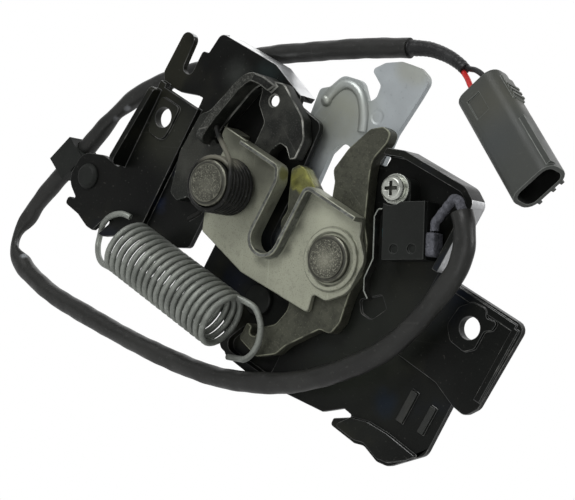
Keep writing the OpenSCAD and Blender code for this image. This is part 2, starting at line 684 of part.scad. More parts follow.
// Cross-slotted screw with its washer
module switch_screw() {
  face = -switch_d + 3 - 1;
  color("#d6d9d4")
    switch_place()
      difference() {
        union() {
          head(screw_local, screw_head_d / 2, face - 2.8, face, 0.9);
          bar(screw_local, screw_d / 2, face - eps, sheet_t + 3);
        }
        translate([screw_local.x, face - 2.8, screw_local.y]) {
          block([-2.3, -1, -0.55], [2.3, 1.6, 0.55]);
          block([-0.55, -1, -2.3], [0.55, 1.6, 2.3]);
        }
      }
}

module switch_washer() {
  color("#c9ccc6")
    switch_place()
      difference() {
        bar(screw_local, screw_head_d / 2 + 0.9, -switch_d + 2, -switch_d + 3);
        bar(screw_local, screw_d / 2 + pin_clear, -20, 20);
      }
}

// Foam block and taped tail between the switch and the sleeve
module lead_block() {
  color("#6f716f")
    switch_place()
      block([switch_w / 2, -switch_d + 0.8, -switch_h / 2 + 1],
        [switch_w / 2 + 3.2, -2, -switch_h / 2 + 8.4]);
}

// The tail's first points go along with the switch's right side
tail_step = (switch_w / 2 - tail_side) * [cos(switch_turn), 0, -sin(switch_turn)];
tail_path = smooth([
  [45.8, -4.9, 19.3] + tail_step, [44.7, -5, 21.6] + tail_step, [45.9, -5.6, 27] + tail_step,
  [48, -7.6, 31.4], [51.2, -9.8, 32], [53, -10.14, 30.8], [53.9, -10.2, 29.9]
], 3);

module lead_tail() {
  color("#565856")
    swept(tail_path, 1.5, 8);
}

// Sleeve from the pan, round below the latch, up through the clip and over to the plug
sleeve_route = [
  [54, -10.2, 29.8], [57.4, -10.7, 26.4], [60.8, -11, 20.6], [62, -11, 14], [60.9, -11, 5.4],
  [58, -11, -7], [52.4, -11, -20.2], [42.4, -11, -33.2], [29.4, -10.2, -45.2], [15.8, -8.8, -53.8],
  [0.8, -7.2, -61], [-16, -5.6, -66.2], [-38.2, -3.8, -71.2], [-67, -1, -76.2], [-85, 1.4, -79],
  [-99.6, 3.8, -79.6], [-108.8, 5.6, -79], [-115.4, 7.2, -76.6], [-118.8, 8.8, -72.2], [-119.4, 10, -66.6],
  [-117.6, 10.4, -55.6], [-113.5, 10.4, -42.6], [-108.1, 10.4, -28.6], [-104.2, 11, -16], [-97, 11.5, -1.2],
  [-84.4, 13.6, 13], [-57.2, 13.6, 33.2], [-40.6, 13.6, 43], [-20.4, 12.5, 53.8], [-3.1, 11.5, 62]
];
sleeve_path = smooth(sleeve_route, 2);

module sleeve() {
  color("#2d2e2b")
    swept(sleeve_path, sleeve_r, 8);
}

// Taped wires from the sleeve's end, thinner towards the plug
tape_path = concat([[-3.02, 11.49, 62.03]],
  smooth([[-2, 11.4, 62.5], [4.4, 10.9, 64.9], [11.9, 9.6, 66], [18.1, 8.1, 65.9], [21.6, 7.2, 65.3]], 3));
tape_r = [for (i = [0:len(tape_path) - 1]) tape_d / 2 * (1 - 0.3 * i / (len(tape_path) - 1))];

module sleeve_tape() {
  color("#1d1d1c")
    swept(tape_path, tape_r, 8);
}

wire_black_path = smooth([
  [22.2, 7.05, 66.42], [23.2, 6.8, 66.26], [26.4, 5.1, 67],
  plug_point([-4.2, 0, 2.6]), plug_point([0.38, 0, 2.6])
], 3);
wire_red_path = smooth([
  [21.49, 7.23, 64.1], [22.54, 6.96, 63.92], [25, 5.6, 63.2],
  plug_point([-4.2, 0, -2.6]), plug_point([0.38, 0, -2.6])
], 3);

module wire_black() {
  color("#1a1a1a")
    swept(wire_black_path, wire_r, 8);
}

module wire_red() {
  color("#b82a2a")
    swept(wire_red_path, wire_r, 8);
}

// Plastic clip that ties the lead to the left ear
module clip_place() {
  translate(clip_at)
    rotate([0, clip_turn, 0])
      children();
}

module lead_clip() {
  color("#202220")
    union() {
      clip_place()
        difference() {
          block([-5.2, -5.4, -6], [5.2, 5, 6]);
          translate([0, 0, -10])
            cylinder(h = 20, r = sleeve_r + 0.15, $fn = fine);
        }
      block([-107.6, 5.4, -38.6], [-ear_x - 15.6, 6.7, -30.4]);
      bar([-ear_x - 20, -33.6], 5, 0, 6);
    }
}

module clip_stud() {
  color("#262826")
    union() {
      bar([-ear_x - 20, -33.6], 3, -sheet_t, 0);
      head([-ear_x - 20, -33.6], 4.6, -sheet_t - 1.8, -sheet_t, 1.2);
    }
}

// Two-way plug at the far end, mouth at the lower right
module plug_place() {
  translate(plug_back)
    rotate([0, plug_turn, 0])
      rotate([0, 0, -plug_tilt])
        children();
}

// Rounded section of the plug, drawn in by a wall thickness
function plug_section(t) = let(hw = plug_w / 2 - t, hd = plug_d / 2 - t, r = plug_round - t) rounded([
    [-hd, -hw, r], [hd, -hw, r], [hd, hw, r], [-hd, hw, r]
  ]);

// Solid of that section along the plug
module plug_bar(t, x0, x1) {
  translate([x0, 0, 0])
    rotate([90, 0, 90])
      linear_extrude(x1 - x0)
        polygon(plug_section(t));
}

module plug_shell() {
  hw = plug_w / 2;
  hd = plug_d / 2;
  color("#63676a")
    plug_place()
      difference() {
        union() {
          plug_bar(0, 0, plug_l);
          block([plug_l - 21, -hd + 1, hw - 2.6], [plug_l - 1, -hd + 3.4, hw + 0.3]);
          block([3, -hd + 2.4, hw - 1], [13, hd - 2.4, hw + 0.3]);
          for (i = [0:2])
            block([7 + 2 * i, -hd + 2.4, hw], [8 + 2 * i, hd - 2.4, hw + 0.8]);
          for (z = [-hw + 3, 0.5, hw - 4])
            block([plug_l - 2.4, hd - 1, z], [plug_l, hd + 1, z + 1.2]);
        }
        plug_bar(plug_wall, 14, plug_l + 1);
        block([-1, -hd + 2.2, -hw + 3], [3, hd - 2.2, hw - 3]);
        block([4, -hd - 1, -hw + 3.6], [12, -hd + 0.5, hw - 7]);
        for (s = [-1, 1])
          block([2, -0.9, s * 2.6 - 0.9], [15, 0.9, s * 2.6 + 0.9]);
      }
}

module plug_core() {
  color("#8c8f8e")
    plug_place()
      difference() {
        plug_bar(plug_wall, 14, 18);
        for (s = [-1, 1])
          block([13, -0.9, s * 2.6 - 0.9], [19, 0.9, s * 2.6 + 0.9]);
      }
}

module plug_seal() {
  hw = plug_w / 2 - 3;
  hd = plug_d / 2 - 2.2;
  color("#3a3c3b")
    plug_place()
      difference() {
        block([0.4, -hd, -hw], [3, hd, hw]);
        for (s = [-1, 1])
          block([-1, -0.9, s * 2.6 - 0.9], [4, 0.9, s * 2.6 + 0.9]);
      }
}

module plug_blade(s) {
  plug_place()
    block([2, -0.9, s * 2.6 - 0.9], [32, 0.9, s * 2.6 + 0.9]);
}

module plug_blade_a() {
  color("#b9a86a")
    plug_blade(1);
}

module plug_blade_b() {
  color("#b9a86a")
    plug_blade(-1);
}

base_bracket();
cover_plate();
ratchet_pin();
ratchet();
pawl_pin();
spring_seat();
pawl();
pawl_spring();
ratchet_spring();
hook_pin();
hook_spacer();
safety_hook();
hook_spring();
hook_cap();
switch_body();
switch_cover();
switch_plunger();
switch_leaf();
switch_screw();
switch_washer();
lead_block();
lead_tail();
sleeve();
sleeve_tape();
lead_clip();
clip_stud();
wire_red();
wire_black();
plug_shell();
plug_core();
plug_seal();
plug_blade_a();
plug_blade_b();
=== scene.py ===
"""Bonnet latch: rounds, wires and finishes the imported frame, above a pale studio floor."""

import math

import bmesh
import bpy
from bpy.props import FloatProperty, FloatVectorProperty, IntProperty, PointerProperty
from mathutils import Matrix, Vector


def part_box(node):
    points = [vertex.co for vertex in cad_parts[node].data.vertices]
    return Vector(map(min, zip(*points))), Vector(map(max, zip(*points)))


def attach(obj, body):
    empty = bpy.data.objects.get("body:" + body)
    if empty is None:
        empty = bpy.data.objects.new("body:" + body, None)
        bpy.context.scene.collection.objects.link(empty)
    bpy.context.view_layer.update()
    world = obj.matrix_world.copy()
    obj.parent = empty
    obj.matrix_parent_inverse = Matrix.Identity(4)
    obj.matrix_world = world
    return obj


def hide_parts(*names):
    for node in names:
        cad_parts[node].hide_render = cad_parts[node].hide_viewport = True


bl_info = {
    "name": "Bonnet latch",
    "version": (1, 0, 0),
    "blender": (4, 5, 0),
    "location": "View3D > Sidebar > Latch",
    "description": "Dresses a bonnet latch with its springs, switch and lead",
    "category": "Object",
}

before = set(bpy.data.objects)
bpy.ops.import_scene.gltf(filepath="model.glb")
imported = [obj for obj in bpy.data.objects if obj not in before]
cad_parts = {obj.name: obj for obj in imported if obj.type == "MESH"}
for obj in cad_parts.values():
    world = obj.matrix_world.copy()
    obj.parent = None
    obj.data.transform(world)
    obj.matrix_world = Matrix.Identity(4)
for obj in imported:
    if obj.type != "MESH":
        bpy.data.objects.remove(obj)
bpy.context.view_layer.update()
MM = 0.001

# Width of the photograph, in picture points
IMAGE_W = 575

# Axes of the latch in the X-Z plane, and the left ear's hole along X, in millimetres
RATCHET_AT = (19.0, -6.0)
PAWL_AT = (-27.4, -5.0)
HOOK_AT = (-3.0, -33.3)
LEFT_EAR = -71.0

# Front faces along Y of the cover, the levers, the hook and the two pins, in millimetres
COVER_FRONT = -7.6
LEVER_FRONT = -5.3
HOOK_FRONT = 4.6
RATCHET_PIN_FRONT, PAWL_PIN_FRONT = (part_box(node)[0][1] / MM for node in ("ratchet_pin", "pawl_pin"))

# Places of the grease on the ratchet and on the cover's lip, and of the painted shadow on the hook, in
# millimetres
RATCHET_GREASE = (-5.4, LEVER_FRONT, 10)
LIP_GREASE = (-11.4, -8.4, 8.9)
HOOK_SHADOW = (-11, HOOK_FRONT, 32)

# Points of a copied CAD node that become one, by how close they lie, in metres
SAME_POINT = 2e-6
BRACKET_MERGE = 2.4e-4
COVER_MERGE = 4e-4
LEVER_MERGE = 5e-4

# Angles in degrees: faces flatter than the first are joined, edges steeper than the second are rounded, and
# edges steeper than the third stay sharp in the shading
FLAT_ANGLE = 0.8
ROUNDED_ANGLE = 38
SHARP_ANGLE = 32

# Points on one turn of a coil
TURN_STEPS = 28

# Route of the lead's sleeve, in millimetres
SLEEVE_ROUTE = [
    (54, -10.2, 29.8), (57.4, -10.7, 26.4), (60.8, -11, 20.6), (62, -11, 14), (60.9, -11, 5.4),
    (58, -11, -7), (52.4, -11, -20.2), (42.4, -11, -33.2), (29.4, -10.2, -45.2), (15.8, -8.8, -53.8),
    (0.8, -7.2, -61), (-16, -5.6, -66.2), (-38.2, -3.8, -71.2), (-67, -1, -76.2), (-85, 1.4, -79),
    (-99.6, 3.8, -79.6), (-108.8, 5.6, -79), (-115.4, 7.2, -76.6), (-118.8, 8.8, -72.2), (-119.4, 10, -66.6),
    (-117.6, 10.4, -55.6), (-113.5, 10.4, -42.6), (-108.1, 10.4, -28.6), (-104.2, 11, -16),
    (-97, 11.5, -1.2), (-84.4, 13.6, 13), (-57.2, 13.6, 33.2), (-40.6, 13.6, 43), (-20.4, 12.5, 53.8),
    (-3.1, 11.5, 62),
]
TAPE_ROUTE = [
    (-3.02, 11.49, 62.03), (-2, 11.4, 62.5), (4.4, 10.9, 64.9), (11.9, 9.6, 66), (18.1, 8.1, 65.9),
    (21.6, 7.2, 65.3),
]
TAIL_ROUTE = [
    (45.8, -4.9, 19.3), (44.7, -5, 21.6), (45.9, -5.6, 27), (48, -7.6, 31.4), (51.2, -9.8, 32),
    (53, -10.14, 30.8), (53.9, -10.2, 29.9),
]
BLACK_ROUTE = [
    (20.8, 7.3, 66.2), (23.2, 6.8, 66.26), (26.4, 5.1, 67), (30.18, 3.58, 66.87), (34.44, 2.95, 65.3),
]
RED_ROUTE = [
    (20.6, 7.4, 64.6), (22.54, 6.96, 63.92), (25, 5.6, 63.2), (28.4, 3.58, 61.98), (32.66, 2.95, 60.43),
]

# Middle of the plug's back in millimetres, and the turn and tilt of its solid
PLUG_BACK = (33.2, 3, 63)
PLUG_STORED = (math.radians(20), math.radians(8))

# Folds of the sleeve: the place in millimetres, the depth as a share of the radius, the run in millimetres
SLEEVE_FOLDS = [
    ((-117.6, 8.2, -74.2), 1.2, 6), ((-103, 11.1, -12.6), 0.5, 5), ((-117.9, 10.3, -58), 0.2, 6),
    ((-109.4, 5.8, -78.8), -0.16, 4),
]

# Ripples of the sleeve: the depth as a share of the radius, the radians along its run and the waves round it
SLEEVE_RIPPLES = [(0.018, 210, 2), (0.012, 377, -1)]


def length_prop(name, description, default):
    return FloatProperty(name=name, description=description, default=default, unit="LENGTH")


def angle_prop(name, description, degrees):
    return FloatProperty(name=name, description=description, default=math.radians(degrees), subtype="ANGLE")


def colour_prop(name, description, default):
    return FloatVectorProperty(name=name, description=description, default=default, subtype="COLOR")


class LatchSizes(bpy.types.PropertyGroup):
    """Sizes of the rounded edges, wires and lead"""

    plate_edge: length_prop("Plate edge", "Rounding of the bracket's edges", 0.00024)
    cover_edge: length_prop("Cover edge", "Rounding of the cover plate's and the hook's edges", 0.0004)
    lever_edge: length_prop("Lever edge", "Rounding of the levers' edges", 0.00045)
    small_edge: length_prop("Small edge", "Rounding of the rivets, the screw and other small pieces", 0.0003)
    case_edge: length_prop("Case edge", "Rounding of the switch's case and lid", 0.0005)
    clip_edge: length_prop("Clip edge", "Rounding of the lead's clip and foam block", 0.0006)
    stud_edge: length_prop("Stud edge", "Rounding of the clip's stud", 0.0004)
    plug_edge: length_prop("Plug edge", "Rounding of the plug's case", 0.00035)
    thin_edge: length_prop("Thin edge", "Rounding of the washer and the plug's inner pieces", 0.0002)
    leaf_edge: length_prop("Leaf edge", "Rounding of the switch's leaf", 0.0001)
    plug_turn: angle_prop("Plug turn", "Turn of the plug on its wires", 21)
    plug_tilt: angle_prop("Plug tilt", "Lean of the plug towards the viewer", 16)
    plug_width: FloatProperty(name="Plug width", description="Share of the stored width", default=1.12)
    plug_depth: FloatProperty(name="Plug depth", description="Share of the stored depth", default=1.08)
    spring_wire: length_prop("Spring wire", "Wire diameter of the ratchet spring", 0.0021)
    coil_wire: length_prop("Coil wire", "Wire diameter of the pawl spring", 0.0017)
    return_wire: length_prop("Return wire", "Wire diameter of the hook's return spring", 0.0014)
    sleeve: length_prop("Sleeve", "Outside diameter of the lead's sleeve", 0.0068)
    tape: length_prop("Tape", "Outside diameter of the tape where the sleeve ends", 0.0054)
    tail: length_prop("Tail", "Outside diameter of the foam tail", 0.003)
    wire: length_prop("Wire", "Outside diameter of each insulated wire", 0.0018)
    wire_sides: IntProperty(name="Wire sides", description="Sides of a wire's section", default=14)


class LatchColours(bpy.types.PropertyGroup):
    """Colours of the finishes, in linear light"""

    coat: colour_prop("Coat", "Black coat of the bracket", (0.0034, 0.0038, 0.0033))
    zinc: colour_prop("Zinc", "Passivated zinc of the cover plate", (0.37, 0.38, 0.3))
    lip: colour_prop("Lip", "Worn zinc of the cover's lip", (0.24, 0.25, 0.23))
    lever: colour_prop("Lever", "Oiled steel of the ratchet", (0.066, 0.068, 0.05))
    lever_coat: colour_prop("Lever coat", "Black coat of the release lever", (0.0085, 0.0095, 0.008))
    pin: colour_prop("Pin", "Phosphated pin heads", (0.105, 0.105, 0.083))
    hook: colour_prop("Hook", "Bright zinc of the safety hook", (0.44, 0.475, 0.49))
    spring: colour_prop("Spring", "Plated wire of the ratchet spring", (0.25, 0.265, 0.24))
    plastic: colour_prop("Plastic", "Black plastic of the switch and the clip", (0.0085, 0.0096, 0.0085))
    sleeve: colour_prop("Sleeve", "Vinyl of the sleeve", (0.012, 0.0123, 0.0112))
    plug: colour_prop("Plug", "Grey plastic of the plug", (0.045, 0.0485, 0.044))
    foam: colour_prop("Foam", "Grey foam block on the lead", (0.105, 0.108, 0.124))
    grease: colour_prop("Grease", "Grease on the ratchet", (0.2, 0.2, 0.058))
    red: colour_prop("Red wire", "Insulation of the red wire", (0.52, 0.018, 0.016))
    teal: colour_prop("Plunger", "Plastic of the switch's plunger", (0.008, 0.15, 0.18))


class LatchStage(bpy.types.PropertyGroup):
    """Camera, light and floor"""

    azimuth: angle_prop("Azimuth", "Turn of the view round the latch", 33.35)
    elevation: angle_prop("Elevation", "Height of the view", 12.98)
    roll: angle_prop("Roll", "Lean of the view", 26.95)
    distance: length_prop("Distance", "Camera to the middle of the view", 0.557)
    focal_px: FloatProperty(name="Focal length", description="Focal length in picture points",
                            default=1700.0)
    target: FloatVectorProperty(name="Target", description="Middle of the view", subtype="XYZ",
                                default=(-0.0024, 0.0, -0.0139))
    floor_z: length_prop("Floor", "Height of the floor", -0.32)
    ambient: FloatProperty(name="Ambient", description="Strength of the room's light", default=0.2)
    tent: FloatProperty(name="Tent", description="White of the room in reflections", default=0.25)


def sizes():
    return bpy.context.scene.latch_sizes


def colours():
    return bpy.context.scene.latch_colours


def view_axes():
    """Right, up and back directions of the photograph's view."""
    stage = bpy.context.scene.latch_stage
    a, e, r = stage.azimuth, stage.elevation, stage.roll
    back = Vector((math.sin(a) * math.cos(e), -math.cos(a) * math.cos(e), math.sin(e)))
    side = Vector((math.cos(a), math.sin(a), 0))
    over = back.cross(side)
    right = math.cos(r) * side + math.sin(r) * over
    up = -math.sin(r) * side + math.cos(r) * over
    return right, up, back


def spline(points, steps):
    """Smooth run through points in millimetres, returned in metres."""
    p = [Vector(q) for q in points]
    n = len(p)
    out = []
    for i in range(n - 1):
        a, b, c, d = p[max(i - 1, 0)], p[i], p[i + 1], p[min(i + 2, n - 1)]
        for s in range(steps):
            t = s / steps
            out.append(0.5 * (2 * b + (c - a) * t + (2 * a - 5 * b + 4 * c - d) * t * t
                              + (3 * b - a - 3 * c + d) * t ** 3))
    out.append(p[-1])
    return [q * MM for q in out]


def run_length(path):
    return sum((b - a).length for a, b in zip(path, path[1:]))


def add_object(name, mesh):
    obj = bpy.data.objects.new(name, mesh)
    bpy.context.scene.collection.objects.link(obj)
    return obj


def settle(obj, body, node):
    """Puts a finished piece on its body in place of a CAD node."""
    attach(obj, body)
    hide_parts(node)
    return obj


def baked(obj, name):
    """Plain mesh object of an object's evaluated modifiers; the source goes away."""
    graph = bpy.context.evaluated_depsgraph_get()
    mesh = bpy.data.meshes.new_from_object(obj.evaluated_get(graph), depsgraph=graph)
    mesh.name = name
    old = obj.data
    bpy.data.objects.remove(obj)
    if old.users == 0:
        bpy.data.meshes.remove(old)
    return add_object(name, mesh)


def smooth_by_angle(mesh, degrees):
    mesh.polygons.foreach_set("use_smooth", [True] * len(mesh.polygons))
    mesh.set_sharp_from_angle(angle=math.radians(degrees))


def rounded_copy(name, node, width, face, edge, merge=None):
    """Copy of a CAD node with its triangles joined and its edges rounded in an edge finish.

    The shortest edge limits the rounding, unless merge is given: points closer than that become one.
    """
    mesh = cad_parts[node].data.copy()
    mesh.name = name
    mesh.materials.clear()
    work = bmesh.new()
    work.from_mesh(mesh)
    bmesh.ops.remove_doubles(work, verts=work.verts[:], dist=merge or SAME_POINT)
    bmesh.ops.dissolve_limit(work, angle_limit=math.radians(FLAT_ANGLE), use_dissolve_boundaries=False,
                             verts=work.verts[:], edges=work.edges[:])
    for f in work.faces:
        f.material_index = 0
    work.to_mesh(mesh)
    work.free()
    mesh.materials.append(face)
    mesh.materials.append(edge)
    obj = add_object(name, mesh)
    bevel = obj.modifiers.new("rounded edges", "BEVEL")
    bevel.width = width
    bevel.segments = 2
    bevel.limit_method = "ANGLE"
    bevel.angle_limit = math.radians(ROUNDED_ANGLE)
    bevel.use_clamp_overlap = merge is None
    bevel.material = 1
    obj = baked(obj, name)
    smooth_by_angle(obj.data, SHARP_ANGLE)
    weigh = obj.modifiers.new("flat faces", "WEIGHTED_NORMAL")
    weigh.keep_sharp = True
    return obj


def repaint(obj, material, wanted):
    """Gives another finish to the faces for which wanted(normal, middle in millimetres) holds."""
    obj.data.materials.append(material)
    index = len(obj.data.materials) - 1
    for f in obj.data.polygons:
        if wanted(f.normal, f.center / MM):
            f.material_index = index


def dress(name, node, width, face, edge, body="frame", merge=None, paint=(), move=None):
    """Settles a rounded and finished copy of a CAD node in its place.

    Paint holds pairs of a finish and the test for its faces, and move shifts the points last.
    """
    piece = rounded_copy(name, node, width, make_finish(face), make_finish(edge), merge)
    for finish, wanted in paint:
        repaint(piece, make_finish(finish), wanted)
    if move:
        move(piece)
    return settle(piece, body, node)


def closed_shape(name, verts, faces, materials, picks, smooth):
    """Object of a closed shape whose faces point outwards; picks gives each face's material."""
    mesh = bpy.data.meshes.new(name)
    mesh.from_pydata([tuple(v) for v in verts], [], faces)
    for m in materials:
        mesh.materials.append(m)
    mesh.polygons.foreach_set("material_index", picks)
    work = bmesh.new()
    work.from_mesh(mesh)
    bmesh.ops.recalc_face_normals(work, faces=work.faces[:])
    work.to_mesh(mesh)
    work.free()
    smooth_by_angle(mesh, smooth)
    return add_object(name, mesh)


def join(tree, *links):
    """Links nodes of a tree, each link as node, output, node and input."""
    for start, output, end, into in links:
        tree.links.new(start.outputs[output], end.inputs[into])


def wire_tree():
    """Geometry tree that turns a line into a round wire with closed ends."""
    tree = bpy.data.node_groups.get("round wire")
    if tree:
        return tree
    tree = bpy.data.node_groups.new("round wire", "GeometryNodeTree")
    face = tree.interface
    face.new_socket("Geometry", in_out="INPUT", socket_type="NodeSocketGeometry")
    face.new_socket("Radius", in_out="INPUT", socket_type="NodeSocketFloat").default_value = 0.001
    face.new_socket("Sides", in_out="INPUT", socket_type="NodeSocketInt").default_value = 12
    face.new_socket("Material", in_out="INPUT", socket_type="NodeSocketMaterial")
    face.new_socket("Geometry", in_out="OUTPUT", socket_type="NodeSocketGeometry")
    add = tree.nodes.new
    start, end = add("NodeGroupInput"), add("NodeGroupOutput")
    line, section = add("GeometryNodeMeshToCurve"), add("GeometryNodeCurvePrimitiveCircle")
    skin, real = add("GeometryNodeCurveToMesh"), add("GeometryNodeRealizeInstances")
    smooth, finish = add("GeometryNodeSetShadeSmooth"), add("GeometryNodeSetMaterial")
    skin.inputs["Fill Caps"].default_value = True
    join(tree, (start, "Geometry", line, "Mesh"), (start, "Sides", section, "Resolution"),
         (start, "Radius", section, "Radius"), (line, "Curve", skin, "Curve"),
         (section, "Curve", skin, "Profile Curve"), (skin, "Mesh", smooth, "Geometry"),
         (smooth, "Geometry", real, "Geometry"), (real, "Geometry", finish, "Geometry"),
         (start, "Material", finish, "Material"), (finish, "Geometry", end, "Geometry"))
    return tree


def wire(name, path, diameter, material):
    """Round wire along a path in metres."""
    mesh = bpy.data.meshes.new(name + "_line")
    mesh.from_pydata([tuple(p) for p in path], [(i, i + 1) for i in range(len(path) - 1)], [])
    obj = add_object(name + "_line", mesh)
    tree = wire_tree()
    grow = obj.modifiers.new("wire", "NODES")
    grow.node_group = tree
    values = {"Radius": diameter / 2, "Sides": sizes().wire_sides, "Material": material}
    for item in tree.interface.items_tree:
        if item.in_out == "INPUT" and item.name in values:
            grow[item.identifier] = values[item.name]
    obj = baked(obj, name)
    smooth_by_angle(obj.data, 50)
    return obj


def tube(name, path, radius_at, sides, material):
    """Closed soft tube along a path; radius_at(middle, share, angle, out) gives the section."""
    n = len(path)
    heads = [(path[min(i + 1, n - 1)] - path[max(i - 1, 0)]).normalized() for i in range(n)]
    side = Vector((0, 1, 0)) if abs(heads[0].y) < 0.9 else Vector((1, 0, 0))
    verts, faces, along, total = [], [], 0.0, run_length(path)
    for i in range(n):
        if i:
            along += (path[i] - path[i - 1]).length
        side = (side - heads[i] * side.dot(heads[i])).normalized()
        other = heads[i].cross(side)
        for s in range(sides):
            a = 2 * math.pi * s / sides
            out = math.cos(a) * side + math.sin(a) * other
            verts.append(path[i] + radius_at(path[i], along / total, a, out) * out)
    for i in range(n - 1):
        ring, after = i * sides, (i + 1) * sides
        for s in range(sides):
            t = (s + 1) % sides
            faces.append((ring + s, ring + t, after + t, after + s))
    faces.append(tuple(range(sides - 1, -1, -1)))
    faces.append(tuple((n - 1) * sides + s for s in range(sides)))
    return closed_shape(name, verts, faces, [material], [0] * len(faces), 60)


def lathe(name, at, profile, materials, pick, sides=72):
    """Turned piece about an axis along Y at a place in X-Z.

    The profile is (radius, y) from the front, in millimetres, and pick gives each stretch's material.
    """
    verts, faces, picks = [], [], []
    ring = []
    for r, y in profile:
        if r < 1e-6:
            ring.append([len(verts)])
            verts.append((at[0] * MM, y * MM, at[1] * MM))
        else:
            ring.append(list(range(len(verts), len(verts) + sides)))
            for s in range(sides):
                a = 2 * math.pi * s / sides
                verts.append(((at[0] + r * math.cos(a)) * MM, y * MM, (at[1] + r * math.sin(a)) * MM))
    for k in range(len(profile) - 1):
        a, b = ring[k], ring[k + 1]
        for s in range(sides):
            t = (s + 1) % sides
            if len(a) == 1:
                faces.append((a[0], b[s], b[t]))
            elif len(b) == 1:
                faces.append((a[s], b[0], a[t]))
            else:
                faces.append((a[s], b[s], b[t], a[t]))
            picks.append(pick(k))
    return closed_shape(name, verts, faces, materials, picks, 30)


# Shader groups


def new_group(name, inputs, outputs):
    """Empty shader group with named sockets: (name, kind, default) inputs and (name, kind) outputs."""
    tree = bpy.data.node_groups.new(name, "ShaderNodeTree")
    for label, kind, value in inputs:
        socket = tree.interface.new_socket(label, in_out="INPUT", socket_type="NodeSocket" + kind)
        if value is not None:
            socket.default_value = value
    for label, kind in outputs:
        tree.interface.new_socket(label, in_out="OUTPUT", socket_type="NodeSocket" + kind)
    return tree, tree.nodes.new("NodeGroupInput"), tree.nodes.new("NodeGroupOutput")


def mottle_group():
    """Soft uneven patches."""
    name = "mottle"
    if name in bpy.data.node_groups:
        return bpy.data.node_groups[name]
    tree, start, end = new_group(
        name, [("Vector", "Vector", None), ("Scale", "Float", 200.0), ("Detail", "Float", 4.0),
               ("Low", "Float", 0.4), ("High", "Float", 0.65)], [("Mask", "Float")])
    noise = tree.nodes.new("ShaderNodeTexNoise")
    ramp = tree.nodes.new("ShaderNodeMapRange")
    ramp.interpolation_type = "SMOOTHSTEP"
    join(tree, (start, "Vector", noise, "Vector"), (start, "Scale", noise, "Scale"),
         (start, "Detail", noise, "Detail"), (noise, "Fac", ramp, "Value"), (start, "Low", ramp, "From Min"),
         (start, "High", ramp, "From Max"), (ramp, "Result", end, "Mask"))
    return tree


def scratch_group():
    """Fine scratches that run one way across a plate in X-Z."""
    name = "scratches"
    if name in bpy.data.node_groups:
        return bpy.data.node_groups[name]
    tree, start, end = new_group(
        name, [("Vector", "Vector", None), ("Turn", "Float", 0.0), ("Scale", "Float", 900.0),
               ("Low", "Float", 0.6), ("High", "Float", 0.7)], [("Mask", "Float")])
    turn = tree.nodes.new("ShaderNodeVectorRotate")
    turn.rotation_type = "Y_AXIS"
    thin = tree.nodes.new("ShaderNodeMapping")
    thin.inputs["Scale"].default_value = (0.04, 1.0, 1.0)
    noise = tree.nodes.new("ShaderNodeTexNoise")
    noise.inputs["Detail"].default_value = 2.0
    ramp = tree.nodes.new("ShaderNodeMapRange")
    join(tree, (start, "Vector", turn, "Vector"), (start, "Turn", turn, "Angle"),
         (turn, "Vector", thin, "Vector"), (thin, "Vector", noise, "Vector"),
         (start, "Scale", noise, "Scale"), (noise, "Fac", ramp, "Value"), (start, "Low", ramp, "From Min"),
         (start, "High", ramp, "From Max"), (ramp, "Result", end, "Mask"))
    return tree


def dab_group():
    """Ragged dab round a centre, with an edge as soft as asked."""
    name = "dab"
    if name in bpy.data.node_groups:
        return bpy.data.node_groups[name]
    tree, start, end = new_group(
        name, [("Vector", "Vector", None), ("Centre", "Vector", (0, 0, 0)), ("Radius", "Float", 0.004),
               ("Ragged", "Float", 0.003), ("Soft", "Float", 0.0008)], [("Mask", "Float")])
    noise = tree.nodes.new("ShaderNodeTexNoise")
    noise.inputs["Scale"].default_value = 320.0
    noise.inputs["Detail"].default_value = 4.0
    reach = tree.nodes.new("ShaderNodeVectorMath")
    reach.operation = "DISTANCE"
    shift, edge, near = (tree.nodes.new("ShaderNodeMath") for _ in range(3))
    shift.operation = "MULTIPLY_ADD"
    edge.operation = "SUBTRACT"
    near.operation = "MULTIPLY"
    near.inputs[1].default_value = -1.0
    soft = tree.nodes.new("ShaderNodeMapRange")
    soft.interpolation_type = "SMOOTHSTEP"
    join(tree, (start, "Vector", noise, "Vector"), (start, "Vector", reach, 0), (start, "Centre", reach, 1),
         (noise, "Fac", shift, 0), (start, "Ragged", shift, 1), (reach, "Value", shift, 2),
         (start, "Radius", edge, 0), (shift, "Value", edge, 1), (start, "Soft", near, 0),
         (near, "Value", soft, "From Min"), (start, "Soft", soft, "From Max"),
         (edge, "Value", soft, "Value"), (soft, "Result", end, "Mask"))
    return tree


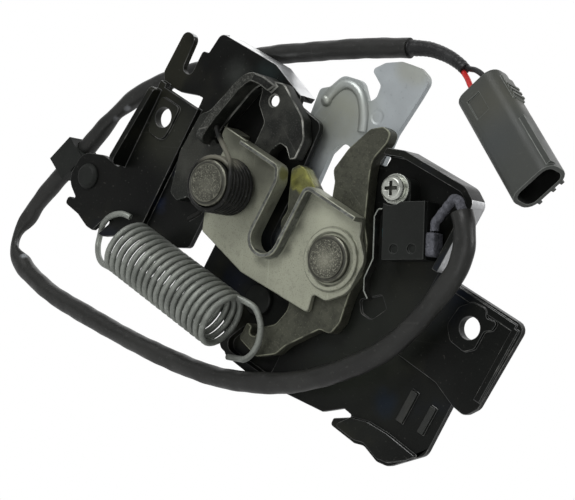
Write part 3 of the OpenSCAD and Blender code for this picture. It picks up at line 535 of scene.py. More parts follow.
class Finish:
    """One material under way: a Principled shader with layers of colour, roughness and bump."""

    def __init__(self, name, colour, roughness, metallic=0.0, specular=0.5, coat=0.0, coat_roughness=0.1):
        self.material = bpy.data.materials.new(name)
        self.material.use_nodes = True
        self.tree = self.material.node_tree
        self.tree.nodes.clear()
        out = self.tree.nodes.new("ShaderNodeOutputMaterial")
        self.shader = self.tree.nodes.new("ShaderNodeBsdfPrincipled")
        self.tree.links.new(self.shader.outputs["BSDF"], out.inputs["Surface"])
        self.shader.inputs["Base Color"].default_value = (*colour, 1)
        self.shader.inputs["Roughness"].default_value = roughness
        self.shader.inputs["Metallic"].default_value = metallic
        self.shader.inputs["Specular IOR Level"].default_value = specular
        self.shader.inputs["Coat Weight"].default_value = coat
        self.shader.inputs["Coat Roughness"].default_value = coat_roughness
        self.place = self.tree.nodes.new("ShaderNodeTexCoord").outputs["Object"]
        self.colour = None
        self.rough = None
        self.height = None

    def group(self, tree, **values):
        """Mask of a shared group with its own values."""
        node = self.tree.nodes.new("ShaderNodeGroup")
        node.node_tree = tree
        self.tree.links.new(self.place, node.inputs["Vector"])
        for label, value in values.items():
            node.inputs[label].default_value = value
        return node.outputs["Mask"]

    def mottle(self, scale, low, high, detail=4.0):
        return self.group(mottle_group(), Scale=scale, Low=low, High=high, Detail=detail)

    def scratches(self, turn, scale, low, high):
        return self.group(scratch_group(), Turn=math.radians(turn), Scale=scale, Low=low, High=high)

    def dab(self, centre, radius, ragged, soft=0.8):
        return self.group(dab_group(), Centre=tuple(c * MM for c in centre), Radius=radius * MM,
                          Ragged=ragged * MM, Soft=soft * MM)

    def scaled(self, mask, factor):
        node = self.tree.nodes.new("ShaderNodeMath")
        node.operation = "MULTIPLY"
        node.inputs[1].default_value = factor
        self.tree.links.new(mask, node.inputs[0])
        return node.outputs["Value"]

    def tint(self, mask, colour, share):
        """Lays a colour over the ones before it."""
        node = self.tree.nodes.new("ShaderNodeMix")
        node.data_type = "RGBA"
        factor, base, over = node.inputs[0], node.inputs[6], node.inputs[7]
        if self.colour is None:
            base.default_value = self.shader.inputs["Base Color"].default_value[:]
        else:
            self.tree.links.new(self.colour, base)
        over.default_value = (*colour, 1)
        self.tree.links.new(self.scaled(mask, share), factor)
        self.colour = node.outputs[2]

    def polish(self, mask, change):
        """Adds a change of roughness where the mask is."""
        node = self.tree.nodes.new("ShaderNodeMath")
        node.operation = "MULTIPLY_ADD"
        node.use_clamp = True
        node.inputs[1].default_value = change
        if self.rough is None:
            node.inputs[2].default_value = self.shader.inputs["Roughness"].default_value
        else:
            self.tree.links.new(self.rough, node.inputs[2])
        self.tree.links.new(mask, node.inputs[0])
        self.rough = node.outputs["Value"]

    def relief(self, mask, amount):
        """Adds a height where the mask is."""
        node = self.tree.nodes.new("ShaderNodeMath")
        node.operation = "MULTIPLY_ADD"
        node.inputs[1].default_value = amount
        if self.height is None:
            node.inputs[2].default_value = 0.0
        else:
            self.tree.links.new(self.height, node.inputs[2])
        self.tree.links.new(mask, node.inputs[0])
        self.height = node.outputs["Value"]

    def patchy(self, patches, colour, share, dull, change):
        """One layer of patches and one of duller places, for a plain material."""
        self.tint(self.mottle(*patches), colour, share)
        self.polish(self.mottle(*dull), change)
        return self.done()

    def done(self, strength=1.0, distance=0.0002):
        """Joins the layers to the shader and returns the material."""
        if self.colour is not None:
            self.tree.links.new(self.colour, self.shader.inputs["Base Color"])
        if self.rough is not None:
            self.tree.links.new(self.rough, self.shader.inputs["Roughness"])
        if self.height is not None:
            bump = self.tree.nodes.new("ShaderNodeBump")
            bump.inputs["Strength"].default_value = strength
            bump.inputs["Distance"].default_value = distance
            self.tree.links.new(self.height, bump.inputs["Height"])
            self.tree.links.new(bump.outputs["Normal"], self.shader.inputs["Normal"])
        return self.material


def shade(colour, factor):
    return tuple(min(1.0, c * factor) for c in colour)


def make_finish(name):
    """Builds a named finish once."""
    if name in bpy.data.materials:
        return bpy.data.materials[name]
    return FINISHES[name](name)


def bracket_coat(name):
    c = colours().coat
    f = Finish(name, c, 0.32, specular=0.13)
    f.tint(f.mottle(15, 0.42, 0.66), shade(c, 2.4), 0.8)
    f.tint(f.mottle(34, 0.52, 0.66, 3.0), (0.021, 0.021, 0.014), 0.6)
    f.tint(f.mottle(27, 0.56, 0.7, 4.0), (0.006, 0.009, 0.019), 0.6)
    # The lighter dabs at (-53, 0, 26), (-41, 0, 31), (40, 0, -30) and (46, 0, -6) are painted sheen
    for place, radius, ragged, soft, patch, share in (
            ((-64, -2.3, -4), 12, 4, 8, (0.021, 0.022, 0.017), 0.85),
            ((-62, 0, -29), 13, 4, 8, (0.002, 0.0024, 0.0022), 0.9),
            ((80, -1, 0), 18, 4, 8, (0.002, 0.0026, 0.002), 0.85),
            ((-86, 0, -31), 8, 4, 4, (0.004, 0.004, 0.0036), 0.7),
            ((-53, 0, 26), 6, 4, 4, (0.034, 0.037, 0.034), 0.75),
            ((-41, 0, 31), 7, 5, 4, (0.016, 0.024, 0.024), 0.75),
            ((-66, 0, 14), 6, 4, 4, (0.004, 0.0045, 0.004), 0.8),
            ((40, 0, -30), 20, 6, 14, (0.014, 0.016, 0.0125), 0.85),
            ((56, 0, -36), 6, 5, 3, (0.007, 0.014, 0.026), 0.7),
            ((-57, -1, -14), 3.4, 3, 2, (0.007, 0.01, 0.026), 0.7),
            ((-58, 0, -27), 4, 4, 2, (0.007, 0.011, 0.026), 0.7),
            ((46, 0, -6), 16, 5, 12, (0.016, 0.0175, 0.0145), 0.8)):
        f.tint(f.dab(place, radius, ragged, soft), patch, share)
    f.tint(f.mottle(950, 0.66, 0.74, 2.0), (0.055, 0.055, 0.048), 0.4)
    f.tint(f.scratches(24, 500, 0.71, 0.77), (0.05, 0.05, 0.045), 0.4)
    f.polish(f.mottle(60, 0.35, 0.7), 0.16)
    f.relief(f.mottle(1400, 0.3, 0.7, 2.0), 0.5)
    return f.done(0.35, 0.00006)


def bracket_edge(name):
    c = colours().coat
    f = Finish(name, shade(c, 3.0), 0.28, specular=0.7)
    return f.patchy((260, 0.52, 0.64), (0.1, 0.1, 0.09), 0.7, (120, 0.4, 0.7), 0.15)


# Bright metal on the top flange and the pan's right side: a painted reflection of the lights
def bracket_painted_highlight(name):
    c = colours().coat
    f = Finish(name, (0.66, 0.67, 0.68), 0.3, metallic=0.85, coat=0.6, coat_roughness=0.14)
    f.tint(f.mottle(70, 0.52, 0.7), shade(c, 14.0), 0.75)
    f.polish(f.mottle(140, 0.4, 0.7), 0.2)
    f.relief(f.mottle(500, 0.35, 0.65, 3.0), 1.0)
    return f.done(0.3, 0.00012)


# Lighter, glossier black on the low ribs: a painted sheen
def bracket_painted_sheen(name):
    c = colours().coat
    f = Finish(name, shade(c, 3.5), 0.3, specular=0.4)
    return f.patchy((110, 0.45, 0.65), (0.03, 0.031, 0.025), 0.7, (90, 0.4, 0.7), 0.2)


def leaf_dark(name):
    f = Finish(name, (0.03, 0.031, 0.028), 0.35, metallic=0.6)
    return f.patchy((400, 0.5, 0.7), (0.08, 0.082, 0.075), 0.5, (300, 0.4, 0.7), 0.16)


def cover_zinc(name):
    c = colours().zinc
    f = Finish(name, c, 0.46, metallic=0.7, specular=0.4)
    f.tint(f.mottle(48, 0.4, 0.68), shade(c, 0.8), 0.6)
    f.tint(f.mottle(420, 0.54, 0.7), shade(c, 0.6), 0.32)
    f.tint(f.mottle(2100, 0.54, 0.68, 3.0), shade(c, 0.42), 0.5)
    f.tint(f.scratches(-62, 700, 0.68, 0.76), shade(c, 1.5), 0.5)
    # Painted shadow of the pawl spring, then painted shade on the tab at the upper left
    f.tint(f.dab((-21.4, -8, 4), 9, 4, 6), shade(c, 0.36), 0.85)
    f.tint(f.dab((-35, -7.2, 11.5), 9, 3, 5), shade(c, 0.22), 0.9)
    f.tint(f.dab((-1, COVER_FRONT, -29), 8, 6, 5), shade(c, 0.62), 0.55)
    # Painted shade along the foot of the lip
    for x, z in ((-15, 5), (-12.4, -3), (-12, -11), (-5.4, -20), (2.4, -12), (2.6, -3), (5, 5), (14, 8)):
        f.tint(f.dab((x, COVER_FRONT, z), 2.8, 2.4, 2.2), shade(c, 0.4), 0.7)
    # Painted light on the right of the plate
    f.tint(f.dab((12, -10, 4), 9, 4, 6), shade(c, 1.3), 0.6)
    f.tint(f.dab(LIP_GREASE, 3.8, 3), colours().grease, 0.75)
    f.polish(f.mottle(150, 0.35, 0.7), 0.14)
    f.relief(f.mottle(1800, 0.3, 0.7, 2.0), 0.6)
    return f.done(0.25, 0.00005)


def lip_zinc(name):
    c = colours().lip
    f = Finish(name, shade(c, 0.62), 0.4, metallic=0.6)
    f.tint(f.mottle(120, 0.42, 0.62), shade(c, 0.3), 0.75)
    f.tint(f.scratches(62, 900, 0.55, 0.7), shade(c, 1.15), 0.6)
    f.tint(f.mottle(900, 0.5, 0.64, 3.0), shade(c, 0.2), 0.6)
    f.tint(f.dab(LIP_GREASE, 3.8, 3), colours().grease, 0.75)
    f.polish(f.mottle(200, 0.4, 0.7), 0.16)
    f.relief(f.mottle(900, 0.3, 0.7, 2.0), 0.6)
    return f.done(0.3, 0.00006)


def cover_edge(name):
    c = colours().zinc
    f = Finish(name, shade(c, 0.72), 0.44, metallic=0.55)
    return f.patchy((300, 0.46, 0.62), shade(c, 0.36), 0.75, (200, 0.4, 0.7), 0.12)


def fork_steel(name):
    c = colours().lever
    f = Finish(name, c, 0.5, metallic=0.35, specular=0.35)
    f.tint(f.mottle(60, 0.42, 0.66), shade(c, 0.45), 0.7)
    f.tint(f.mottle(700, 0.5, 0.68, 3.0), shade(c, 0.4), 0.6)
    f.tint(f.mottle(150, 0.5, 0.64, 3.0), shade(c, 0.4), 0.6)
    f.tint(f.mottle(1700, 0.56, 0.68, 3.0), shade(c, 2.2), 0.4)
    f.tint(f.scratches(68, 760, 0.66, 0.77), shade(c, 2.4), 0.4)
    f.tint(f.scratches(12, 900, 0.68, 0.78), shade(c, 2.2), 0.35)
    f.tint(f.scratches(-20, 640, 0.7, 0.78), shade(c, 2.4), 0.45)
    grease = colours().grease
    smear = f.dab(RATCHET_GREASE, 7.2, 4.4)
    f.tint(smear, grease, 0.95)
    f.tint(f.mottle(380, 0.45, 0.55, 3.0), shade(c, 0.7), 0.3)
    for x, z, radius, ragged, soft, tone in (
            (-4.6, 12, 3.4, 4, 1, 2.4), (-3.4, 6.4, 2.6, 3, 0.8, 1.7), (-7.6, 7.4, 2.4, 4, 1, 0.25),
            (-2.6, 8.6, 1.8, 4, 0.8, 0.35)):
        f.tint(f.dab((x, LEVER_FRONT, z), radius, ragged, soft), shade(grease, tone), 0.8)
    f.tint(f.dab((9.4, LEVER_FRONT, 8), 3.6, 3.4), grease, 0.55)
    f.polish(f.mottle(80, 0.35, 0.7), 0.16)
    f.polish(smear, -0.24)
    f.relief(f.mottle(900, 0.3, 0.7, 2.0), 0.5)
    f.relief(f.dab(RATCHET_GREASE, 7.2, 5.4), 3.0)
    f.relief(f.mottle(330, 0.4, 0.6, 3.0), 1.6)
    return f.done(0.4, 0.00009)


def fork_edge(name):
    c = colours().lever
    f = Finish(name, shade(c, 3.0), 0.36, metallic=0.6)
    f.tint(f.mottle(170, 0.46, 0.6), shade(c, 0.8), 0.85)
    f.tint(f.dab(RATCHET_GREASE, 7.2, 3.4), colours().grease, 0.9)
    f.polish(f.mottle(140, 0.4, 0.7), 0.16)
    return f.done()


def lever_black(name):
    c = colours().lever_coat
    f = Finish(name, c, 0.4, specular=0.2)
    f.tint(f.mottle(24, 0.4, 0.66), shade(c, 2.0), 0.8)
    f.tint(f.dab((-52, LEVER_FRONT, -4), 12, 4, 6), (0.028, 0.029, 0.024), 0.9)
    f.tint(f.mottle(75, 0.5, 0.64, 5.0), (0.042, 0.043, 0.037), 0.65)
    f.tint(f.mottle(130, 0.53, 0.64, 4.0), (0.004, 0.0042, 0.0038), 0.6)
    f.tint(f.mottle(1900, 0.55, 0.64, 3.0), (0.05, 0.05, 0.044), 0.45)
    f.tint(f.scratches(-28, 520, 0.69, 0.78), (0.11, 0.11, 0.098), 0.5)
    f.tint(f.scratches(62, 600, 0.72, 0.8), (0.09, 0.09, 0.08), 0.4)
    f.polish(f.mottle(90, 0.35, 0.7), 0.18)
    f.relief(f.mottle(1200, 0.3, 0.7, 2.0), 0.5)
    return f.done(0.35, 0.00007)


def lever_strip(name):
    f = Finish(name, (0.026, 0.027, 0.023), 0.42, metallic=0.3, specular=0.35)
    f.tint(f.mottle(2300, 0.5, 0.64, 3.0), (0.11, 0.112, 0.1), 0.6)
    f.tint(f.mottle(420, 0.5, 0.66), (0.009, 0.0095, 0.008), 0.6)
    f.tint(f.scratches(40, 700, 0.66, 0.75), (0.2, 0.2, 0.18), 0.6)
    f.polish(f.mottle(300, 0.4, 0.7), 0.16)
    f.relief(f.mottle(1700, 0.35, 0.65, 3.0), 1.0)
    return f.done(0.4, 0.00009)


def lever_worn(name):
    c, bare = colours().lever_coat, (0.4, 0.402, 0.365)
    f = Finish(name, shade(c, 2.2), 0.38, specular=0.3)
    f.tint(f.dab((-40, -12, 22), 20, 7, 5), bare, 0.3)
    for x, z, radius in ((-28, 31, 5), (-19, 27, 7), (-15.5, 18, 7)):
        f.tint(f.dab((x, LEVER_FRONT, z), radius, 4, 2), bare, 0.9)
    f.tint(f.mottle(230, 0.48, 0.6), shade(c, 3.0), 0.7)
    f.tint(f.mottle(900, 0.6, 0.7, 2.0), bare, 0.35)
    f.polish(f.mottle(140, 0.4, 0.7), 0.16)
    return f.done()


def pin_face(name):
    c = colours().pin
    f = Finish(name, shade(c, 0.72), 0.58, metallic=0.45, specular=0.4)
    f.tint(f.mottle(1300, 0.44, 0.62, 5.0), shade(c, 0.28), 0.8)
    f.tint(f.mottle(2300, 0.52, 0.64, 4.0), shade(c, 3.4), 0.6)
    f.tint(f.dab((19, RATCHET_PIN_FRONT, -6.6), 4.2, 2.4, 3), shade(c, 2.7), 0.62)
    f.tint(f.dab((-27, PAWL_PIN_FRONT, -5.8), 3.8, 2.4, 3), shade(c, 1.6), 0.6)
    # Painted shade over the whole pawl pin
    f.tint(f.dab((-27.4, PAWL_PIN_FRONT, -5), 16, 1, 1), shade(c, 0.5), 0.25)
    f.polish(f.mottle(500, 0.4, 0.65), 0.15)
    f.relief(f.mottle(1200, 0.35, 0.65, 3.0), 1.0)
    return f.done(0.55, 0.00016)


def pin_rim(name):
    c = colours().pin
    f = Finish(name, shade(c, 1.3), 0.38, metallic=0.7)
    return f.patchy((330, 0.46, 0.64), shade(c, 0.45), 0.75, (200, 0.4, 0.7), 0.16)


def pin_side(name):
    c = colours().pin
    f = Finish(name, shade(c, 0.42), 0.44, metallic=0.5)
    return f.patchy((300, 0.48, 0.68), shade(c, 0.9), 0.6, (200, 0.4, 0.7), 0.16)


def rivet_black(name):
    c = colours().coat
    f = Finish(name, shade(c, 2.2), 0.45, specular=0.2)
    return f.patchy((300, 0.5, 0.7), shade(c, 5.0), 0.6, (200, 0.4, 0.7), 0.14)


def hook_zinc(name):
    c = colours().hook
    f = Finish(name, c, 0.4, metallic=0.72)
    # Painted shadow on the hook, darker and greener
    f.tint(f.dab(HOOK_SHADOW, 13, 3, 8), (0.285, 0.298, 0.25), 0.95)
    f.tint(f.dab((6, HOOK_FRONT, 60), 8.5, 2, 2.5), (0.4, 0.415, 0.37), 0.8)
    f.tint(f.mottle(34, 0.4, 0.7), shade(c, 0.85), 0.5)
    f.tint(f.scratches(76, 600, 0.68, 0.77), shade(c, 1.3), 0.35)
    f.tint(f.mottle(800, 0.62, 0.74, 2.0), shade(c, 0.6), 0.3)
    f.polish(f.mottle(90, 0.35, 0.7), 0.14)
    f.relief(f.dab((2.2, HOOK_FRONT, 38.4), 2.4, 0.4, 0.5), -4.0)
    return f.done(0.5, 0.0001)


def hook_edge(name):
    c = colours().hook
    f = Finish(name, shade(c, 0.95), 0.34, metallic=0.78)
    # The same painted shadow on the hook's edges
    f.tint(f.dab(HOOK_SHADOW, 13, 3, 8), (0.26, 0.27, 0.235), 0.9)
    f.tint(f.mottle(220, 0.5, 0.7), shade(c, 0.6), 0.5)
    f.polish(f.mottle(160, 0.4, 0.7), 0.14)
    return f.done()


def spring_zinc(name):
    c = colours().spring
    f = Finish(name, c, 0.5, metallic=0.56)
    f.tint(f.mottle(140, 0.42, 0.68), shade(c, 0.6), 0.7)
    f.tint(f.mottle(1000, 0.58, 0.7, 2.0), shade(c, 0.5), 0.5)
    f.tint(f.mottle(700, 0.64, 0.74, 2.0), shade(c, 1.5), 0.4)
    f.polish(f.mottle(240, 0.38, 0.68), 0.16)
    f.relief(f.mottle(1500, 0.3, 0.7, 2.0), 0.5)
    return f.done(0.3, 0.00006)


def coil_steel(name):
    f = Finish(name, (0.005, 0.0052, 0.0045), 0.38, metallic=0.15, specular=0.24)
    f.tint(f.mottle(260, 0.5, 0.7), (0.014, 0.0144, 0.0125), 0.6)
    f.tint(f.dab((-31, -18, 6), 8, 2, 3), (0.17, 0.165, 0.13), 0.85)
    f.tint(f.mottle(1100, 0.62, 0.72, 2.0), (0.11, 0.11, 0.095), 0.45)
    f.polish(f.mottle(300, 0.4, 0.7), 0.16)
    return f.done()


def case_plastic(name):
    c = colours().plastic
    f = Finish(name, c, 0.52, specular=0.18)
    f.tint(f.mottle(60, 0.42, 0.7), shade(c, 1.6), 0.7)
    f.tint(f.mottle(1500, 0.6, 0.72, 2.0), (0.03, 0.031, 0.028), 0.3)
    f.polish(f.mottle(200, 0.35, 0.7), 0.14)
    f.relief(f.mottle(2200, 0.3, 0.7, 2.0), 0.5)
    return f.done(0.3, 0.00005)


def plastic_edge(name):
    c = colours().plastic
    f = Finish(name, shade(c, 1.9), 0.42, specular=0.35)
    return f.patchy((300, 0.5, 0.7), shade(c, 3.2), 0.5, (200, 0.4, 0.7), 0.12)


def sleeve_skin(name):
    c = colours().sleeve
    f = Finish(name, c, 0.36, specular=0.34)
    f.tint(f.mottle(40, 0.42, 0.68), shade(c, 2.0), 0.7)
    # Painted highlights along the sleeve's side by the upper fold and on the lips of the lower fold
    for place, radius, highlight_colour, share in (
            ((-100, 8.6, -14), 2.6, (0.3, 0.31, 0.33), 0.6), ((-97.4, 9, -8), 2.4, (0.3, 0.31, 0.33), 0.6),
            ((-115.4, 6.6, -73.6), 2.6, (0.36, 0.37, 0.38), 0.75),
            ((-108.4, 4.4, -75.8), 2.6, (0.34, 0.36, 0.38), 0.75)):
        f.tint(f.dab(place, radius, 3, 1), highlight_colour, share)
    f.tint(f.mottle(800, 0.62, 0.74, 2.0), (0.06, 0.06, 0.056), 0.35)
    f.tint(f.scratches(30, 420, 0.7, 0.78), (0.06, 0.06, 0.056), 0.4)
    f.polish(f.mottle(110, 0.35, 0.68), 0.2)
    f.relief(f.mottle(240, 0.35, 0.65), 0.8)
    return f.done(0.35, 0.0002)


def tape_vinyl(name):
    f = Finish(name, (0.008, 0.0082, 0.0085), 0.42, specular=0.34)
    f.tint(f.mottle(200, 0.45, 0.7), (0.022, 0.023, 0.024), 0.6)
    f.tint(f.mottle(900, 0.62, 0.72, 2.0), (0.07, 0.07, 0.07), 0.3)
    f.polish(f.mottle(160, 0.4, 0.7), 0.16)
    f.relief(f.mottle(260, 0.35, 0.65), 1.0)
    return f.done(0.4, 0.0003)


def plug_plastic(name):
    c = colours().plug
    f = Finish(name, c, 0.4, specular=0.36)
    f.tint(f.mottle(45, 0.4, 0.7), shade(c, 1.25), 0.6)
    f.tint(f.dab((44, 2, 62), 9, 2, 8), (0.078, 0.076, 0.055), 0.7)
    f.tint(f.dab((52, -6, 52), 8, 2, 7), (0.05, 0.056, 0.058), 0.6)
    f.tint(f.mottle(1300, 0.6, 0.72, 2.0), shade(c, 1.7), 0.3)
    f.tint(f.scratches(40, 500, 0.71, 0.78), shade(c, 2.0), 0.3)
    f.polish(f.mottle(120, 0.35, 0.7), 0.12)
    f.relief(f.mottle(2000, 0.3, 0.7, 2.0), 0.5)
    return f.done(0.25, 0.00005)


# Near-black inside the plug's mouth and on its floor: painted shade
def plug_painted_shade(name):
    f = Finish(name, (0.006, 0.0066, 0.006), 0.5, specular=0.2)
    return f.patchy((200, 0.45, 0.7), (0.016, 0.017, 0.016), 0.6, (120, 0.35, 0.7), 0.14)


def plug_edge(name):
    c = colours().plug
    f = Finish(name, shade(c, 2.6), 0.34, specular=0.5)
    return f.patchy((240, 0.5, 0.7), shade(c, 4.0), 0.5, (160, 0.4, 0.7), 0.12)


def foam_grey(name):
    c = colours().foam
    f = Finish(name, c, 0.85, specular=0.2)
    f.tint(f.mottle(700, 0.4, 0.65, 3.0), shade(c, 0.45), 0.7)
    f.tint(f.mottle(1500, 0.55, 0.7, 2.0), shade(c, 1.8), 0.4)
    f.polish(f.mottle(300, 0.4, 0.7), 0.1)
    f.relief(f.mottle(1200, 0.35, 0.65, 3.0), 1.0)
    return f.done(0.6, 0.0003)


def red_vinyl(name):
    c = colours().red
    f = Finish(name, c, 0.35, specular=0.5)
    return f.patchy((300, 0.45, 0.7), shade(c, 0.6), 0.5, (200, 0.4, 0.7), 0.14)


def plunger_teal(name):
    c = colours().teal
    f = Finish(name, c, 0.35, specular=0.5)
    return f.patchy((500, 0.45, 0.7), shade(c, 1.7), 0.5, (300, 0.4, 0.7), 0.14)


def blade_brass(name):
    f = Finish(name, (0.62, 0.54, 0.33), 0.3, metallic=1.0)
    return f.patchy((300, 0.45, 0.7), (0.5, 0.42, 0.24), 0.5, (300, 0.4, 0.7), 0.14)


def screw_zinc(name):
    f = Finish(name, (0.56, 0.58, 0.53), 0.26, metallic=0.85)
    f.tint(f.mottle(120, 0.45, 0.7), (0.36, 0.37, 0.33), 0.6)
    f.tint(f.mottle(900, 0.6, 0.72, 2.0), (0.25, 0.255, 0.23), 0.5)
    f.polish(f.mottle(300, 0.4, 0.7), 0.16)
    return f.done()


# Dark faces in the screw's cross recess: painted shade
def recess_painted_shade(name):
    f = Finish(name, (0.06, 0.062, 0.05), 0.5, metallic=0.5)
    return f.patchy((600, 0.45, 0.7), (0.14, 0.142, 0.12), 0.6, (300, 0.4, 0.7), 0.14)


FINISHES = {maker.__name__: maker for maker in (
    bracket_coat, bracket_edge, bracket_painted_highlight, bracket_painted_sheen, leaf_dark, cover_zinc, lip_zinc, cover_edge,
    fork_steel, fork_edge, lever_black, lever_strip, lever_worn, pin_face, pin_rim, pin_side, rivet_black,
    hook_zinc, hook_edge, spring_zinc, coil_steel, case_plastic, plastic_edge, sleeve_skin, tape_vinyl,
    plug_plastic, plug_painted_shade, plug_edge, foam_grey, red_vinyl, plunger_teal, blade_brass, screw_zinc,
    recess_painted_shade,
)}


class LATCH_OT_stage(bpy.types.Operator):
    """Sets the floor, the light and the camera"""

    bl_idname = "latch.stage"
    bl_label = "Stage"

    def execute(self, context):
        scene = context.scene
        stage = scene.latch_stage
        scene.view_settings.view_transform = "Standard"
        right, up, back = view_axes()
        target = Vector(stage.target)

        camera = bpy.data.cameras.new("view")
        camera.sensor_fit = "HORIZONTAL"
        camera.sensor_width = 36.0
        camera.lens = camera.sensor_width * stage.focal_px / IMAGE_W
        camera.clip_start = 0.01
        holder = bpy.data.objects.new("view", camera)
        scene.collection.objects.link(holder)
        place = Matrix((right, up, back)).transposed().to_4x4()
        place.translation = target + back * stage.distance
        holder.matrix_world = place
        scene.camera = holder

        for name, (across, above, near), size, power in (
            ("key", (-0.55, 1.05, 0.75), 0.8, 11.0),
            ("side", (1.1, 0.35, 0.35), 0.7, 6.0),
            ("front", (-0.2, -0.1, 1.5), 0.9, 4.0),
            ("backdrop", (0.25, 0.35, -1.2), 2.8, 17.0),
        ):
            lamp = bpy.data.lights.new(name, "AREA")
            lamp.shape = "DISK"
            lamp.size = size
            lamp.energy = power
            obj = bpy.data.objects.new(name, lamp)
            scene.collection.objects.link(obj)
            spot = target + right * across + up * above + back * near
            obj.location = spot
            obj.rotation_euler = (target - spot).to_track_quat("-Z", "Y").to_euler()
            obj.visible_camera = False

        self.room(scene, stage)
        self.floor(scene, stage)
        return {"FINISHED"}

    @staticmethod
    def room(scene, stage):
        world = bpy.data.worlds.new("room")
        scene.world = world
        world.use_nodes = True
        tree = world.node_tree
        tree.nodes.clear()
        out = tree.nodes.new("ShaderNodeOutputWorld")
        lit, white = tree.nodes.new("ShaderNodeBackground"), tree.nodes.new("ShaderNodeBackground")
        lit.inputs["Color"].default_value = (1, 1, 1, 1)
        white.inputs["Color"].default_value = (1, 1, 1, 1)
        path, mix = tree.nodes.new("ShaderNodeLightPath"), tree.nodes.new("ShaderNodeMixShader")
        level = tree.nodes.new("ShaderNodeMath")
        level.operation = "MULTIPLY_ADD"
        level.inputs[1].default_value = stage.tent
        level.inputs[2].default_value = stage.ambient
        join(tree, (path, "Is Glossy Ray", level, 0), (level, "Value", lit, "Strength"),
             (path, "Is Camera Ray", mix, 0), (lit, 0, mix, 1), (white, 0, mix, 2), (mix, 0, out, "Surface"))

    @staticmethod
    def floor(scene, stage):
        z, half = stage.floor_z, 4.0
        mesh = bpy.data.meshes.new("floor")
        corners = [(-half, -half, z), (half, -half, z), (half, half, z), (-half, half, z)]
        mesh.from_pydata(corners, [], [(0, 1, 2, 3)])
        material = bpy.data.materials.new("pale_floor")
        material.use_nodes = True
        tree = material.node_tree
        tree.nodes.clear()
        out = tree.nodes.new("ShaderNodeOutputMaterial")
        matt, glow = tree.nodes.new("ShaderNodeBsdfDiffuse"), tree.nodes.new("ShaderNodeEmission")
        matt.inputs["Color"].default_value = (0.85, 0.85, 0.85, 1)
        path, mix = tree.nodes.new("ShaderNodeLightPath"), tree.nodes.new("ShaderNodeMixShader")
        join(tree, (path, "Is Camera Ray", mix, 0), (matt, 0, mix, 1), (glow, 0, mix, 2),
             (mix, 0, out, "Surface"))
        mesh.materials.append(material)
        add_object("floor", mesh)


def plug_axes(turn, tilt):
    """Turn of the plug's own axes in the frame."""
    return Matrix.Rotation(turn, 3, "Y") @ Matrix.Rotation(-tilt, 3, "Z")


def hang(obj):
    """Lets a plug piece hang from its wires as the photograph shows it."""
    s = sizes()
    back = Vector(PLUG_BACK) * MM
    wider = Matrix.Diagonal((1, s.plug_depth, s.plug_width))
    turned = plug_axes(s.plug_turn, s.plug_tilt) @ wider @ plug_axes(*PLUG_STORED).transposed()
    for v in obj.data.vertices:
        v.co = back + turned @ (v.co - back)


def plug_mouth(n, c):
    """Faces inside the plug's mouth, by its own length, depth and width in millimetres."""
    floor, rim, half_depth, half_width, corner = 13, 42.6, 3.9, 6.4, 9.3
    x, y, z = plug_axes(*PLUG_STORED).transposed() @ (c - Vector(PLUG_BACK))
    y, z = abs(y), abs(z)
    return floor < x < rim and y < half_depth and z < half_width and y + z < corner


def plug_pieces():
    """Rounded pieces of the two-way plug."""
    s = sizes()
    # The faces inside the mouth and the floor get painted shade
    pieces = [dress("plug_case", "plug_shell", s.plug_edge, "plug_plastic", "plug_edge",
                    paint=[("plug_painted_shade", plug_mouth)], move=hang)]
    for name, node, width, finish, slot in (
            ("plug_floor", "plug_core", s.thin_edge, "plug_painted_shade", "grey_plastic"),
            ("plug_grommet", "plug_seal", s.small_edge, "tape_vinyl", "sleeve_vinyl"),
            ("blade_left", "plug_blade_a", s.thin_edge, "blade_brass", "tinned_brass"),
            ("blade_right", "plug_blade_b", s.thin_edge, "blade_brass", "tinned_brass")):
        pieces.append(dress(name, node, width, finish, finish, move=hang))
    return pieces


class LATCH_OT_lead(bpy.types.Operator):
    """Runs the sleeved lead from the switch round to the plug"""

    bl_idname = "latch.lead"
    bl_label = "Lead"

    def execute(self, context):
        s = sizes()
        tape = make_finish("tape_vinyl")
        path = spline(SLEEVE_ROUTE, 14)
        inner = view_axes()[0]

        # Shares of the radius: the flatness, the usual size, the least size and a fold on the outer side
        flatness, usual, least, outer_fold = 0.05, 0.985, 0.16, 0.24

        def section(middle, share, angle, out):
            """Slightly flat and rippled, with folds that are deepest on the loop's inner side."""
            flat = 1 - flatness * (0.5 + 0.5 * math.sin(share * 61)) * math.cos(2 * angle)
            ripple = sum(depth * math.sin(share * along + around * angle)
                         for depth, along, around in SLEEVE_RIPPLES)
            fold = 0.0
            for place, depth, run in SLEEVE_FOLDS:
                near = (middle - Vector(place) * MM).length / (run * MM)
                facing = outer_fold + (1 - outer_fold) * max(0.0, out.dot(inner))
                fold += depth * facing * math.exp(-near * near)
            return s.sleeve / 2 * usual * max(least, flat + ripple - fold)

        def wrapped(middle, share, angle, out):
            """Narrower towards the wires, in turns of tape."""
            return s.tape / 2 * (1 - 0.3 * share) * (1 + 0.035 * math.sin(share * 90 + angle))

        def lumpy(middle, share, angle, out):
            return s.tail / 2 * (1 + 0.08 * math.sin(share * 40 + angle))

        sleeve = tube("sleeve_run", path, section, 32, make_finish("sleeve_skin"))
        settle(sleeve, "frame", "sleeve")
        wrap = tube("tape_wrap", spline(TAPE_ROUTE, 10), wrapped, 24, tape)
        settle(wrap, "frame", "sleeve_tape")
        tail = tube("taped_tail", spline(TAIL_ROUTE, 6), lumpy, 16, make_finish("foam_grey"))
        settle(tail, "frame", "lead_tail")
        black = wire("black_wire", spline(BLACK_ROUTE, 8), s.wire, tape)
        settle(black, "frame", "wire_black")
        red = wire("red_wire", spline(RED_ROUTE, 8), s.wire, make_finish("red_vinyl"))
        settle(red, "frame", "wire_red")
        ends = plug_pieces()
        return {"FINISHED"}


# Tests for faces with a finish of their own, by the face's normal and its middle in millimetres


